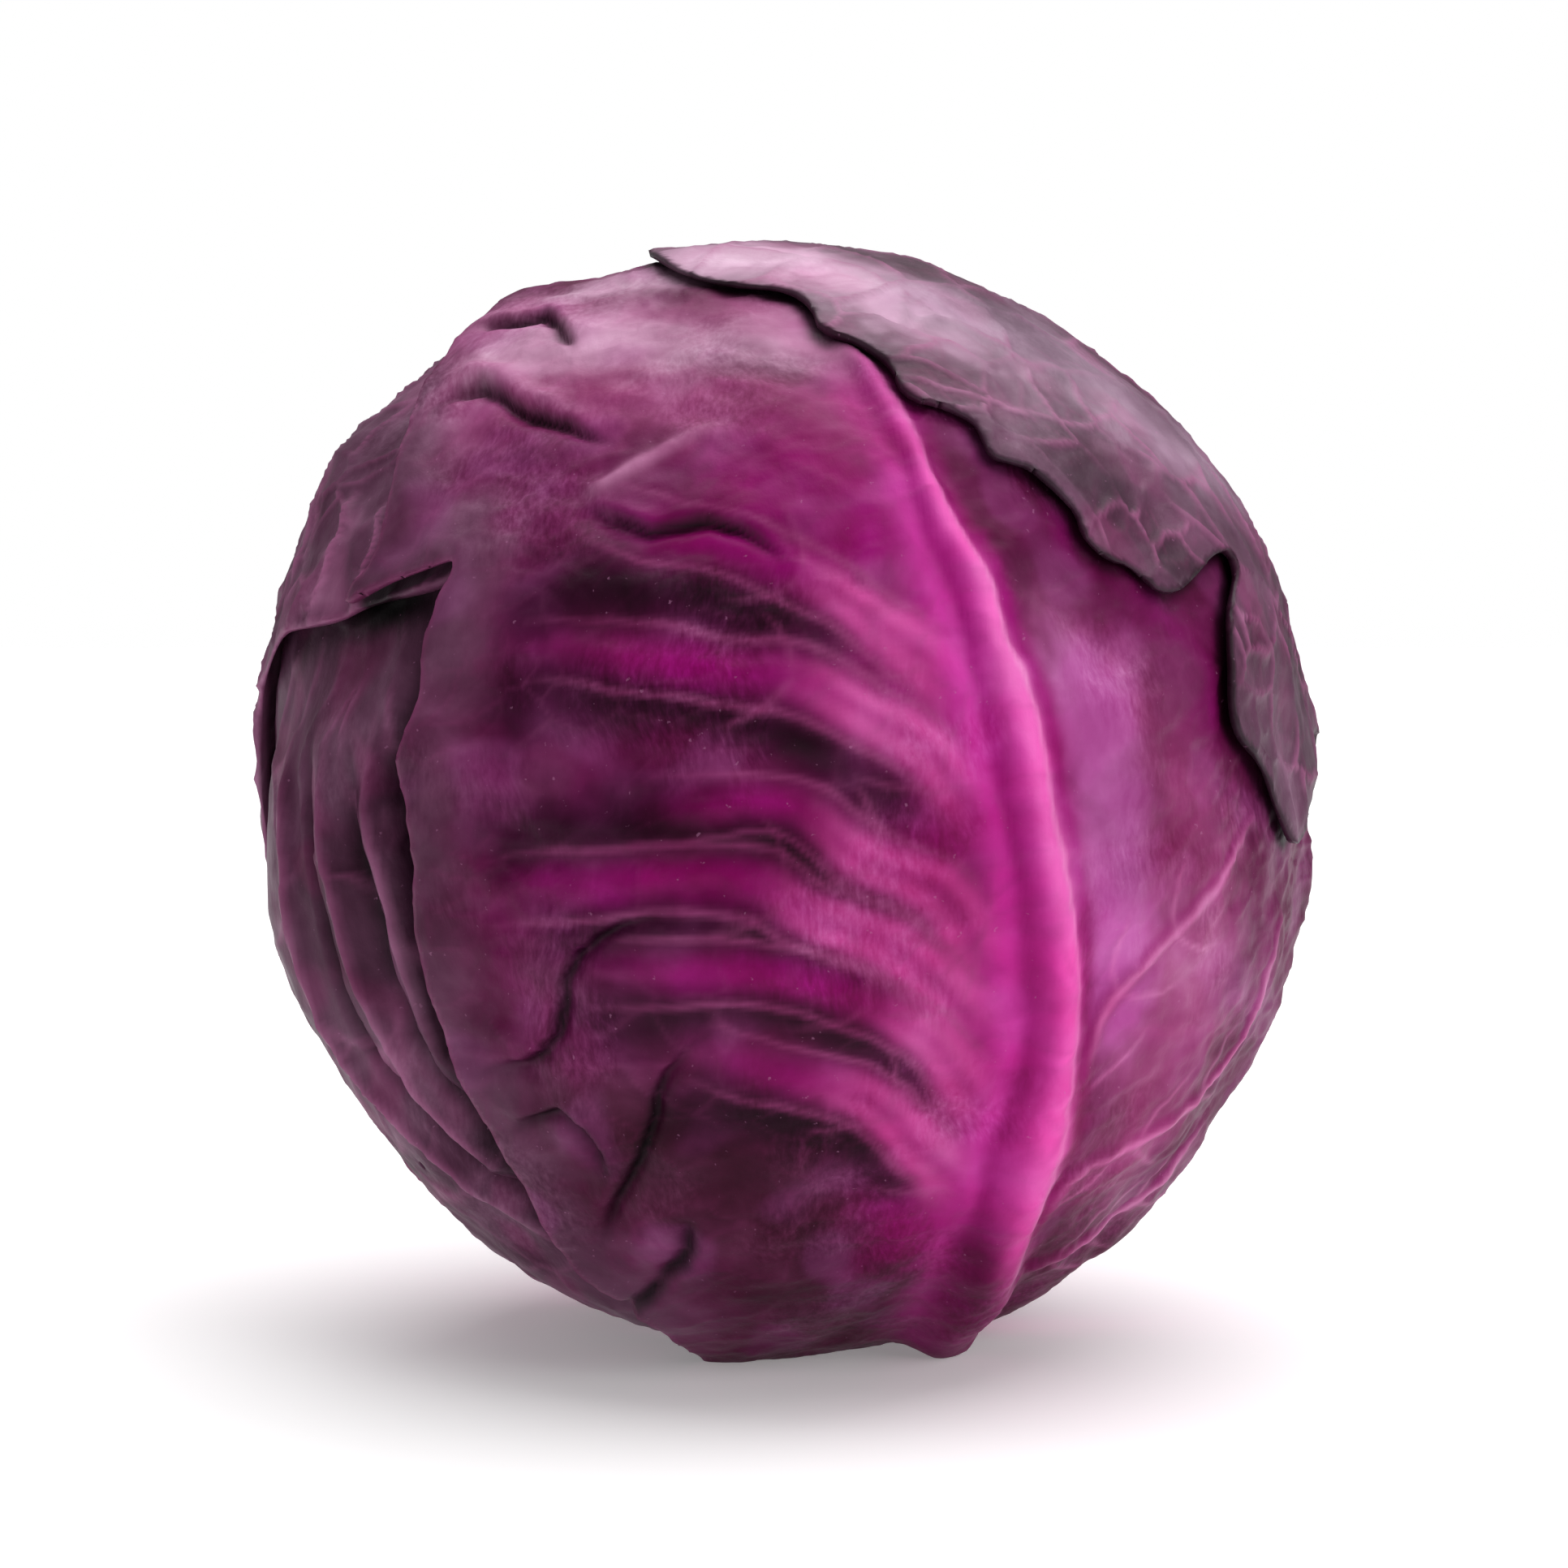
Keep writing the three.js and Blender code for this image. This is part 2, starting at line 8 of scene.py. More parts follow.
import logging
import math
from collections.abc import Callable
from dataclasses import dataclass, field
from enum import Enum

import bmesh
import bpy
import numpy as np
from mathutils import Matrix, Vector


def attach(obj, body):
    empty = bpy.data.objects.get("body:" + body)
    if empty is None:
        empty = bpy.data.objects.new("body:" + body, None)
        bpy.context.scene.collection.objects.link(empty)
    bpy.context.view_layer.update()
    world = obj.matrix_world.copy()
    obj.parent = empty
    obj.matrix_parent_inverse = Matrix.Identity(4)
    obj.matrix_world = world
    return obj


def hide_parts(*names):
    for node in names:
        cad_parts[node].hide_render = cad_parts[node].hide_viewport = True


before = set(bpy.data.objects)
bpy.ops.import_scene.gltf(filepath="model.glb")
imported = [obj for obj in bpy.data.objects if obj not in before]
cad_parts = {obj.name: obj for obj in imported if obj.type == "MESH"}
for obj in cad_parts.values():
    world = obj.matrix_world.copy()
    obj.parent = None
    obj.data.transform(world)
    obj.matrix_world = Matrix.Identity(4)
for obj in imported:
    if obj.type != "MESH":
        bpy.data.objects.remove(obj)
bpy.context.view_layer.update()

log = logging.getLogger("cabbage")
Array = np.ndarray
Colour = tuple[float, float, float]

MM = 0.001
ROOT_BODY = "root"


# ----------------------------------------------------------------------------------------------------------
# The ball and its directions


def unit(vectors: Array) -> Array:
    """Scales vectors to length one."""
    return vectors / np.linalg.norm(vectors, axis=-1, keepdims=True)


def smoothstep(values: Array, low: float, high: float) -> Array:
    """Goes smoothly from 0 at low to 1 at high."""
    t = np.clip((values - low) / (high - low), 0.0, 1.0)
    return t * t * (3.0 - 2.0 * t)


@dataclass(frozen=True)
class Swell:
    """A gentle wave that all layers share: its height in mm, waves round the ball and phase."""

    height: float
    waves: tuple[float, float, float]
    phase: float


@dataclass(frozen=True)
class Bulge:
    """A place where the front outline swells, by its angle from the right and its spread in degrees."""

    at: float
    spread: float
    height: float


@dataclass(frozen=True)
class Ball:
    """The head's overall form and the two ways of naming a direction from its middle."""

    middle_height: float = 77.0
    half_width: float = 74.5
    half_height: float = 77.0
    half_depth: float = 75.0
    mean_radius: float = 77.0
    bulges: tuple[Bulge, ...] = (Bulge(133, 22, 3), Bulge(270, 25, 3))
    drawing_distance: float = 1000.0
    drawing_tilt: float = 7.0
    swells: tuple[Swell, ...] = (
        Swell(0.5, (7, 2, 3), 0.4),
        Swell(0.4, (-3, 6, 6), 2.1),
        Swell(0.35, (4, 5, -9), 4.0),
    )

    @property
    def drawing_up(self) -> Array:
        """Upwards on the front drawing."""
        tilt = math.radians(self.drawing_tilt)
        return np.array([0.0, math.sin(tilt), math.cos(tilt)])

    @property
    def drawing_eye(self) -> Array:
        """From the middle towards the eye of the front drawing."""
        tilt = math.radians(self.drawing_tilt)
        return np.array([0.0, -math.cos(tilt), math.sin(tilt)])

    def front_radius(self, angle: Array) -> Array:
        """Radius of the front outline at angles from the right, anticlockwise, in radians."""
        middling = (self.half_height + self.half_width) / 2
        radius = middling - (self.half_height - self.half_width) / 2 * np.cos(2 * angle)
        for bulge in self.bulges:
            off = angle - math.radians(bulge.at)
            turned = np.arctan2(np.sin(off), np.cos(off))
            radius = radius + bulge.height * np.exp(-((turned / math.radians(bulge.spread)) ** 2))
        return radius

    def drawn(self, points: list) -> Array:
        """Directions of points on the front drawing.

        Args:
            points: pairs of mm right of the middle and mm above the butt.

        Returns:
            One unit vector for each point.
        """
        spots = np.array(points, float)
        right, up = spots[:, 0], spots[:, 1] - self.middle_height
        angle = np.arctan2(up, right)
        share = np.minimum(np.hypot(right, up) / self.front_radius(angle), 0.998)
        far = self.drawing_distance / self.mean_radius
        slope = share / math.sqrt(far * far - 1)
        away = np.arcsin(np.minimum(slope * far / np.hypot(1, slope), 1)) - np.arctan(slope)
        flat = np.outer(np.cos(angle), [1.0, 0.0, 0.0]) + np.outer(np.sin(angle), self.drawing_up)
        return np.outer(np.cos(away), self.drawing_eye) + np.sin(away)[:, None] * flat

    def aimed(self, points: list) -> Array:
        """Directions by azimuth, from the front towards the right, and elevation, in degrees."""
        turn, rise = np.radians(np.array(points, float)).T
        return np.stack([np.cos(rise) * np.sin(turn), -np.cos(rise) * np.cos(turn), np.sin(rise)], axis=1)

    def radius(self, directions: Array) -> Array:
        """The ball's radius with its swells, before any leaf is laid on it."""
        up = directions @ self.drawing_up
        right = directions[:, 0]
        outline = self.front_radius(np.arctan2(up, right))
        radius = self.half_depth + (outline - self.half_depth) * (right**2 + up**2)
        for swell in self.swells:
            radius = radius + swell.height * np.sin(directions @ np.array(swell.waves) + swell.phase)
        return radius

    def place(self, directions: Array, radii: Array) -> Array:
        """Points in metres at the given distances from the middle."""
        points = directions * radii[:, None]
        points[:, 2] += self.middle_height
        return points * MM

    def directions_of(self, points: Array) -> Array:
        """Directions from the middle to points in metres."""
        moved = points / MM
        moved[:, 2] -= self.middle_height
        return unit(moved)


BALL = Ball()


@dataclass(frozen=True)
class Ripple:
    """A soft irregular pattern over directions, from seeded waves: mostly between -1 and 1."""

    seed: int
    waves: float
    stretch: tuple[float, float, float] = (1.0, 1.0, 1.0)
    count: int = 14

    def at(self, directions: Array) -> Array:
        """The pattern's value in each direction."""
        rng = np.random.default_rng(self.seed)
        ways = unit(rng.normal(size=(self.count, 3))) * self.waves * rng.uniform(0.6, 1.4, (self.count, 1))
        phases = rng.uniform(0, 2 * math.pi, self.count)
        return np.sin(directions @ (ways * self.stretch).T + phases).sum(axis=1) / math.sqrt(self.count)


@dataclass(frozen=True)
class Sway:
    """Moves directions a little, so that what is drawn on the ball wanders as grown lines do."""

    seed: int
    shifts: tuple[tuple[float, float], ...]

    def at(self, directions: Array) -> Array:
        """The moved directions. Each shift is a length in mm and its waves round the ball."""
        moved = directions.copy()
        for step, (shift, waves) in enumerate(self.shifts):
            for axis in range(3):
                ripple = Ripple(self.seed + 10 * step + axis, waves)
                moved[:, axis] += shift / BALL.mean_radius * ripple.at(directions)
        return unit(moved)


@dataclass(frozen=True)
class Cells:
    """The fields between a leaf's fine veins: seeded points, each with the part of the leaf nearest to it."""

    seed: int
    size: float
    stretch: tuple[float, float, float] = (1.0, 1.0, 1.0)

    def at(self, directions: Array) -> tuple[Array, Array]:
        """Distance from the nearest vein in mm, and a number from 0 to 1 that is the field's own."""
        rng = np.random.default_rng(self.seed)
        count = int(4 * math.pi * (BALL.mean_radius / self.size) ** 2)
        seeds = (unit(rng.normal(size=(count, 3))) * self.stretch).astype(np.float32)
        shades = rng.uniform(size=count)
        gap = np.empty(len(directions))
        shade = np.empty(len(directions))
        lengths = (seeds**2).sum(axis=1)
        for start in range(0, len(directions), 20000):
            part = slice(start, start + 20000)
            spots = (directions[part] * self.stretch).astype(np.float32)
            away = lengths - 2 * spots @ seeds.T + (spots**2).sum(axis=1)[:, None]
            nearest = np.argpartition(away, 2, axis=1)[:, :2]
            pair = np.take_along_axis(away, nearest, axis=1)
            first = nearest[np.arange(len(spots)), pair.argmin(axis=1)]
            second = nearest[np.arange(len(spots)), pair.argmax(axis=1)]
            apart = np.linalg.norm(seeds[first] - seeds[second], axis=1)
            gap[part] = (pair.max(axis=1) - pair.min(axis=1)) / (2 * apart) * BALL.mean_radius
            shade[part] = shades[first]
        return gap, shade


# ----------------------------------------------------------------------------------------------------------
# Lines on the ball


def smooth_path(points: Array, closed: bool, step: float) -> Array:
    """A centripetal curve through directions, with evenly spaced points.

    Args:
        points: unit vectors that the curve goes through.
        closed: whether it comes back to its start.
        step: distance between the points that are returned, in mm.

    Returns:
        Unit vectors along the curve, without a repeat of the first.
    """
    if closed:
        chain = np.vstack([points[-1:], points, points[:2]])
    else:
        chain = np.vstack([2 * points[0] - points[1], points, 2 * points[-1] - points[-2]])
    t = np.linspace(0, 1, 12, endpoint=False)[:, None]
    pieces = []
    for a, b, c, d in zip(chain, chain[1:], chain[2:], chain[3:]):
        first, middle, last = (math.sqrt(max(np.linalg.norm(v), 1e-9)) for v in (b - a, c - b, d - c))
        leave = middle * ((b - a) / first - (c - a) / (first + middle) + (c - b) / middle)
        arrive = middle * ((c - b) / middle - (d - b) / (middle + last) + (d - c) / last)
        cubic = 2 * b - 2 * c + leave + arrive
        square = 3 * c - 3 * b - 2 * leave - arrive
        pieces.append(b + t * (leave + t * (square + t * cubic)))
    pieces.append(points[:1] if closed else points[-1:])
    fine = np.vstack(pieces)
    lengths = np.concatenate([[0.0], np.cumsum(np.linalg.norm(np.diff(fine, axis=0), axis=1))])
    parts = max(2, round(lengths[-1] * BALL.mean_radius / step))
    places = np.linspace(0, lengths[-1], parts + 1)
    even = np.stack([np.interp(places, lengths, fine[:, k]) for k in range(3)], axis=1)
    return unit(even[:-1] if closed else even)


@dataclass
class Nearness:
    """How directions lie to a path: distance in mm, share of the way along and side, 1 on its left."""

    distance: Array
    share: Array
    side: Array


def nearest_on(path: Array, directions: Array, closed: bool = False) -> Nearness:
    """Finds the nearest place on a path for each direction."""
    ends = np.vstack([path, path[:1]]) if closed else path
    best = np.full(len(directions), np.inf)
    share = np.zeros(len(directions))
    side = np.ones(len(directions))
    for k, (a, b) in enumerate(zip(ends, ends[1:])):
        along = b - a
        t = np.clip((directions - a) @ along / (along @ along), 0, 1)
        gap = directions - a - t[:, None] * along
        away = np.einsum("ij,ij->i", gap, gap)
        closer = away < best
        best[closer] = away[closer]
        share[closer] = (k + t[closer]) / (len(ends) - 1)
        side[closer] = np.sign(directions[closer] @ np.cross(a, b))
    return Nearness(np.sqrt(best) * BALL.mean_radius, share, side)


@dataclass
class Line:
    """A line on the ball, given by directions, that only reaches so far to its sides."""

    points: Array
    step: float = 4.0
    path: Array = field(init=False)

    def __post_init__(self) -> None:
        """Smooths the line once."""
        self.path = smooth_path(self.points, False, self.step)

    def near(self, directions: Array, reach: float) -> tuple[Array, Nearness]:
        """The directions within reach of the line, by index, and how they lie to it."""
        middle = unit(self.path.mean(axis=0))
        spread = np.max(np.linalg.norm(self.path - middle, axis=1)) + reach / BALL.mean_radius
        chosen = np.flatnonzero(np.linalg.norm(directions - middle, axis=1) < spread)
        return chosen, nearest_on(self.path, directions[chosen])


# ----------------------------------------------------------------------------------------------------------
# Marks: what is raised or pressed into a leaf


class Form(Enum):
    """How a mark's height falls off to its sides."""

    RIB = "round top and steep sides"
    RIDGE = "soft swelling"
    CREASE = "narrow valley"
    LIP = "raised on the left of the line, with a drop to its right"


@dataclass
class Mark:
    """A raised or sunken line on a leaf. Height and half width go from its start to its end, in mm."""

    form: Form
    points: Array
    height: tuple[float, float]
    width: tuple[float, float]
    ends: float = 0.18

    def add_to(self, relief: Array, directions: Array) -> None:
        """Adds the mark's height, in mm, where it reaches."""
        reach = 4 * max(self.width)
        chosen, lie = Line(self.points).near(directions, reach)
        height = np.interp(lie.share, [0, 1], self.height)
        width = np.interp(lie.share, [0, 1], self.width)
        across = lie.distance / width
        taper = smoothstep(lie.share, -0.001, self.ends) * smoothstep(1 - lie.share, -0.001, self.ends)
        if self.form is Form.RIB:
            shape = np.exp(-(across**2.6))
        elif self.form is Form.RIDGE:
            shape = taper * np.exp(-(across**2))
        elif self.form is Form.CREASE:
            shape = -taper * np.exp(-(across**2))
        else:
            signed = across * lie.side
            drop = smoothstep(signed, -0.16, 0.14)
            foot = 0.45 * np.exp(-(((signed + 0.2) / 0.22) ** 2))
            shape = taper * (drop * np.exp(-(np.maximum(signed, 0) ** 1.5)) - foot)
        relief[chosen] += height * shape

    def press(self, pressed: Array, directions: Array) -> None:
        """Deepens the bed under a sunken mark, so that the leaf keeps its thickness there."""
        if self.form not in (Form.CREASE, Form.LIP):
            return
        depth = max(self.height) * (1.0 if self.form is Form.CREASE else 0.45)
        reach = 2.2 * max(self.width) + 3
        chosen, lie = Line(self.points).near(directions, 2 * reach)
        pressed[chosen] = np.maximum(pressed[chosen], depth * np.exp(-((lie.distance / reach) ** 2)))


def rib(points: Array, height: tuple[float, float], width: tuple[float, float]) -> Mark:
    """A midrib or a vein with full ends."""
    return Mark(Form.RIB, points, height, width, 0.0)


@dataclass(frozen=True)
class Crumple:
    """Small swells all over a leaf, or with sharp crests where it is crumpled. Height in mm."""

    height: float
    pattern: Ripple
    sharp: bool = False

    def at(self, directions: Array) -> Array:
        """The swells' height."""
        value = self.pattern.at(directions)
        return self.height * (0.5 - np.minimum(np.abs(value), 1) if self.sharp else value)


# ----------------------------------------------------------------------------------------------------------
# Washes: colour laid on a leaf


def tone(red: int, green: int, blue: int) -> Colour:
    """A display colour, 0 to 255, as linear light."""

    def linear(value: float) -> float:
        return value / 12.92 if value <= 0.04045 else ((value + 0.055) / 1.055) ** 2.4

    return tuple(linear(v / 255) for v in (red, green, blue))


@dataclass
class Wash:
    """Colour along a line: its half width from start to end in mm, and its strength."""

    colour: Colour
    points: Array
    width: tuple[float, float]
    strength: float = 1.0

    def lay_on(self, tint: Array, directions: Array, patchy: Array) -> None:
        """Mixes the wash into colours where it reaches, less far where patchy is higher.

        A broad wash has firm sides, and a narrow one fades at its ends.
        """
        chosen, lie = Line(self.points).near(directions, 2.6 * max(self.width))
        across = lie.distance / np.interp(lie.share, [0, 1], self.width)
        broad = max(self.width) > BROAD_WASH
        feathered = across * (1 + (0.45 if broad else 0.2) * (patchy[chosen] - 0.9))
        amount = self.strength * np.exp(-(feathered ** (3.0 if broad else 2.0)))
        if not broad:
            amount *= smoothstep(lie.share, -0.1, 0.3) * smoothstep(1 - lie.share, -0.1, 0.3)
        tint[chosen] += amount[:, None] * (np.array(self.colour) - tint[chosen])


@dataclass(frozen=True)
class Dapple:
    """Seeded patches of another colour all over a leaf."""

    colour: Colour
    pattern: Ripple
    strength: float

    def lay_on(self, tint: Array, directions: Array) -> None:
        """Mixes the patches into colours."""
        amount = self.strength * smoothstep(self.pattern.at(directions), 0.1, 1.1)
        tint += amount[:, None] * (np.array(self.colour) - tint)


def drawn(*places: tuple[float, float]) -> Array:
    """Directions of places on the front drawing, in mm right of the middle and above the butt."""
    return BALL.drawn(list(places))


def stroke(colour: Colour, width: tuple[float, float], strength: float, *places: tuple[float, float]) -> Wash:
    """A wash along places on the front drawing."""
    return Wash(colour, drawn(*places), width, strength)


# ----------------------------------------------------------------------------------------------------------
# Leaves


BLADE = 0.9
AIR = 0.6
COVER_MARGIN = 5.0
COVER_FADE = 17.0
LIFT_WIDTH = 12.0
EDGE_WAVES = (9, 20)
OUTLINE_STEP = 3.0
FINE_OUTLINE_STEP = 1.5
HIDDEN_RELIEF_SHARE = 0.1
STALK_HOLE = 14.5
SHOWN_UNDER_EDGE = 3.0
THINNEST = 0.35
MAP_STEPS = (361, 181)
EXACT_BAND = 2.5
MARK_SWAY = Sway(40, ((0.5, 24), (0.12, 90)))
BROAD_WASH = 5.0
# painted shade beside the edges of upper leaves: its strength and its unevenness
SHADE_STRENGTH = 0.93
SHADE_PATTERN = Ripple(3, 12)
NET_SWAY = Sway(90, ((2.2, 14), (0.7, 50)))


@dataclass
class Net:
    """Fine veins between fields: their height and half width in mm, colour and how the fields differ."""

    cells: Cells
    height: float
    width: float
    colour: Colour
    strength: float
    contrast: float
    known: dict[int, tuple[Array, Array]] = field(default_factory=dict)

    def at(self, directions: Array) -> tuple[Array, Array]:
        """The cells' answer, kept for the next call with as many directions."""
        if len(directions) not in self.known:
            self.known = {len(directions): self.cells.at(NET_SWAY.at(directions))}
        return self.known[len(directions)]

    def height_at(self, directions: Array) -> Array:
        """Height of the veins, with the fields a little swollen between them."""
        gap, shade = self.at(directions)
        swell = smoothstep(gap, 0, 0.35 * self.cells.size)
        return self.height * (np.exp(-((gap / self.width) ** 2)) - 0.6 * swell * (0.5 + shade))

    def lay_on(self, tint: Array, directions: Array) -> None:
        """Colours the veins and gives each field a shade of its own."""
        gap, shade = self.at(directions)
        tint *= (1 + self.contrast * (shade - 0.5) * smoothstep(gap, 0, 1.5))[:, None]
        broken = smoothstep(Ripple(31, 30).at(directions), -0.9, 0.6)
        amount = self.strength * broken * np.exp(-((gap / self.width) ** 2))
        tint += amount[:, None] * (np.array(self.colour) - tint)


@dataclass
class Chart:
    """A flat map of the ball round one direction that keeps distances from it, in mm."""

    middle: Array
    east: Array = field(init=False)
    north: Array = field(init=False)

    def __post_init__(self) -> None:
        """Sets the map's two axes."""
        self.east = unit(np.cross([0.0, 0.0, 1.0], self.middle))
        self.north = np.cross(self.middle, self.east)

    def flatten(self, directions: Array) -> Array:
        """Map places of directions."""
        spot = np.stack([directions @ self.east, directions @ self.north], axis=1)
        length = np.linalg.norm(spot, axis=1)
        angle = np.arctan2(length, directions @ self.middle)
        return spot * (angle * BALL.mean_radius / np.maximum(length, 1e-9))[:, None]

    def raise_up(self, spots: Array) -> Array:
        """Directions of map places."""
        length = np.linalg.norm(spots, axis=1)
        angle = length / BALL.mean_radius
        ways = spots / np.maximum(length, 1e-9)[:, None]
        flat = ways[:, :1] * self.east + ways[:, 1:] * self.north
        return np.cos(angle)[:, None] * self.middle + np.sin(angle)[:, None] * flat


def inside(polygon: Array, spots: Array) -> Array:
    """Whether flat spots lie inside a polygon."""
    within = np.zeros(len(spots), bool)
    for a, b in zip(polygon, np.roll(polygon, -1, axis=0)):
        crosses = (a[1] > spots[:, 1]) != (b[1] > spots[:, 1])
        if a[1] != b[1]:
            cut = a[0] + (b[0] - a[0]) * (spots[:, 1] - a[1]) / (b[1] - a[1])
            within ^= crosses & (spots[:, 0] < cut)
    return within


@dataclass
class EdgeMap:
    """A leaf's edge distance, worked out once for directions round the ball and read between them."""

    values: Array

    @classmethod
    def of(cls, distance_at: Callable[[Array], Array]) -> "EdgeMap":
        """Fills the map from a function of directions."""
        columns, rows = MAP_STEPS
        turns, rises = np.meshgrid(np.linspace(-180, 180, columns), np.linspace(-90, 90, rows))
        directions = BALL.aimed(np.stack([turns.ravel(), rises.ravel()], axis=1))
        return cls(distance_at(directions).reshape(rows, columns))

    def read(self, directions: Array) -> Array:
        """Edge distances between the map's points."""
        columns, rows = MAP_STEPS
        turn = np.arctan2(directions[:, 0], -directions[:, 1]) / math.pi
        rise = np.arcsin(np.clip(directions[:, 2], -1, 1)) / math.pi
        x = (turn + 1) / 2 * (columns - 1)
        y = (rise + 0.5) * (rows - 1)
        left = np.clip(x.astype(int), 0, columns - 2)
        low = np.clip(y.astype(int), 0, rows - 2)
        across, up = x - left, y - low
        near = self.values[low, left] * (1 - across) + self.values[low, left + 1] * across
        far = self.values[low + 1, left] * (1 - across) + self.values[low + 1, left + 1] * across
        return near * (1 - up) + far * up


@dataclass
class WrapperLeaf:
    """One wrapper leaf: its outline, how it stands off at its edge, its marks and its colours.

    heart_point sees the whole outline, and blade_middle is the middle of the fine map of its blade.
    shade_width says how far painted shade darkens it beside the leaves that lie over it.
    """

    name: str
    node: str
    slot: str
    heart_point: tuple[float, float]
    blade_middle: tuple[float, float]
    outline: Array
    lift: float
    edge_depth: float
    base_tint: Colour
    grain: float
    marks: list[Mark] = field(default_factory=list)
    grounds: list[Wash] = field(default_factory=list)
    dapples: list[Dapple] = field(default_factory=list)
    washes: list[Wash] = field(default_factory=list)
    crumples: list[Crumple] = field(default_factory=list)
    nets: list[Net] = field(default_factory=list)
    shade_width: float = 1.2
    edge_tint: Colour = (0.0, 0.0, 0.0)
    edge_width: float = 0.5
    edge_strength: float = 0.0
    coarse: Array = field(init=False)
    fine: Array = field(init=False)
    chart: Chart = field(init=False)
    polygon: Array = field(init=False)
    edge_map: EdgeMap = field(init=False)

    def __post_init__(self) -> None:
        """Works out the outline with its small waves, coarse for the layers and fine for the edge."""
        self.chart = Chart(BALL.aimed([self.heart_point])[0])
        self.coarse = self.waved(smooth_path(self.outline, True, OUTLINE_STEP))
        self.fine = smooth_path(self.coarse, True, FINE_OUTLINE_STEP)
        self.polygon = self.chart.flatten(self.fine)
        self.edge_map = EdgeMap.of(self.exact_edge_distance)

    def waved(self, path: Array) -> Array:
        """The edge in small waves towards and away from the heart point."""
        along = 2 * math.pi * np.arange(len(path)) / len(path)
        wave = np.sin(EDGE_WAVES[0] * along) + 0.5 * np.sin(EDGE_WAVES[1] * along + 1)
        inward = unit(self.chart.middle - (path @ self.chart.middle)[:, None] * path)
        return unit(path + inward * (self.edge_depth * wave / BALL.mean_radius)[:, None])

    def exact_edge_distance(self, directions: Array) -> Array:
        """Distance from the leaf's edge in mm, less than zero inside it."""
        distance = nearest_on(self.fine, directions, closed=True).distance
        return np.where(inside(self.polygon, self.chart.flatten(directions)), -distance, distance)

    def edge_distance(self, directions: Array) -> Array:
        """The same, read from the map away from the edge."""
        distance = self.edge_map.read(directions)
        close = np.flatnonzero(np.abs(distance) < EXACT_BAND)
        distance[close] = self.exact_edge_distance(directions[close])
        return distance

    def relief(self, directions: Array) -> Array:
        """Height of the marks over the blade, in mm."""
        swayed = MARK_SWAY.at(directions)
        relief = np.zeros(len(directions))
        ribs = np.zeros(len(directions))
        for mark in self.marks:
            if mark.form is Form.RIB:
                one = np.zeros(len(directions))
                mark.add_to(one, swayed)
                ribs = np.maximum(ribs, one)
            else:
                mark.add_to(relief, swayed)
        for crumple in self.crumples:
            relief += crumple.at(directions)
        for net in self.nets:
            relief += net.height_at(directions)
        return relief + ribs

    def pressed(self, directions: Array) -> Array:
        """How far the marks press the layers below, in mm."""
        swayed = MARK_SWAY.at(directions)
        pressed = np.zeros(len(directions))
        for mark in self.marks:
            mark.press(pressed, swayed)
        return pressed * smoothstep(-self.edge_distance(directions), -2, 1)

    def tint(self, directions: Array, edges: Array) -> Array:
        """Colour of the leaf's outer face."""
        tint = np.tile(np.array(self.base_tint), (len(directions), 1))
        swayed = MARK_SWAY.at(directions)
        patchy = 0.9 + 0.35 * np.tanh(Ripple(5, 55).at(directions) + 0.8 * Ripple(6, 140).at(directions))
        for ground in self.grounds:
            ground.lay_on(tint, swayed, patchy)
        for dapple in self.dapples:
            dapple.lay_on(tint, directions)
        for wash in self.washes:
            wash.lay_on(tint, swayed, patchy)
        for net in self.nets:
            net.lay_on(tint, directions)
        # a band of edge_tint along the leaf's own edge, partly painted light: a highlight on the front leaf's
        # rolled margin, a shadow line under the top leaf's margin
        rim = self.edge_strength * np.exp(-((edges / self.edge_width) ** 2))
        return tint + rim[:, None] * (np.array(self.edge_tint) - tint)


@dataclass
class LayerState:
    """What the layers say about some directions: one row for each leaf.

    shown is one where a leaf's face is in the open, and pressed says how far marks on a leaf or on any
    leaf above it press it down.
    """

    edges: Array
    covers: Array
    bed: Array
    lifts: Array
    shown: Array
    pressed: Array


@dataclass
class Layers:
    """The leaves from the innermost to the outermost, and the radii between which each one lies."""

    leaves: list[WrapperLeaf]

    def at(self, directions: Array) -> LayerState:
        """Works out covers, lifts and the bed for some directions."""
        count = len(self.leaves)
        edges = np.array([leaf.edge_distance(directions) for leaf in self.leaves])
        covers = 1 - smoothstep(edges, COVER_MARGIN, COVER_MARGIN + COVER_FADE)
        free = np.ones_like(covers)
        shown = np.ones_like(covers)
        pressed = np.zeros((count + 1, len(directions)))
        for k in range(count - 1, -1, -1):
            if k < count - 1:
                free[k] = free[k + 1] * (1 - covers[k + 1])
                shown[k] = shown[k + 1] * smoothstep(edges[k + 1], -SHOWN_UNDER_EDGE, 0.5)
            pressed[k] = np.maximum(pressed[k + 1], self.leaves[k].pressed(directions))
        lift = np.array([[leaf.lift] for leaf in self.leaves])
        lifts = lift * smoothstep(edges, -LIFT_WIDTH, 0) * free
        bed = BALL.radius(directions) - AIR - covers.sum(axis=0) * (BLADE + AIR)
        return LayerState(edges, covers, bed, lifts, shown, pressed)

    def inner_radius(self, index: int, state: LayerState) -> Array:
        """Radius of a leaf's inner face, before marks press it down."""
        radius = state.bed + AIR + state.lifts[index]
        for below in range(index):
            radius = radius + state.covers[below] * (BLADE + AIR + state.lifts[below])
        return radius

    def back_radius(self, index: int, state: LayerState) -> Array:
        """Radius of a leaf's inner face."""
        return self.inner_radius(index, state) - state.pressed[index]

    def outer_radius(self, index: int, state: LayerState, directions: Array) -> Array:
        """Radius of a leaf's outer face with its marks."""
        share = HIDDEN_RELIEF_SHARE + (1 - HIDDEN_RELIEF_SHARE) * state.shown[index]
        relief = share * self.leaves[index].relief(directions)
        face = self.inner_radius(index, state) + BLADE + relief - state.pressed[index + 1]
        return np.maximum(face, self.back_radius(index, state) + THINNEST)


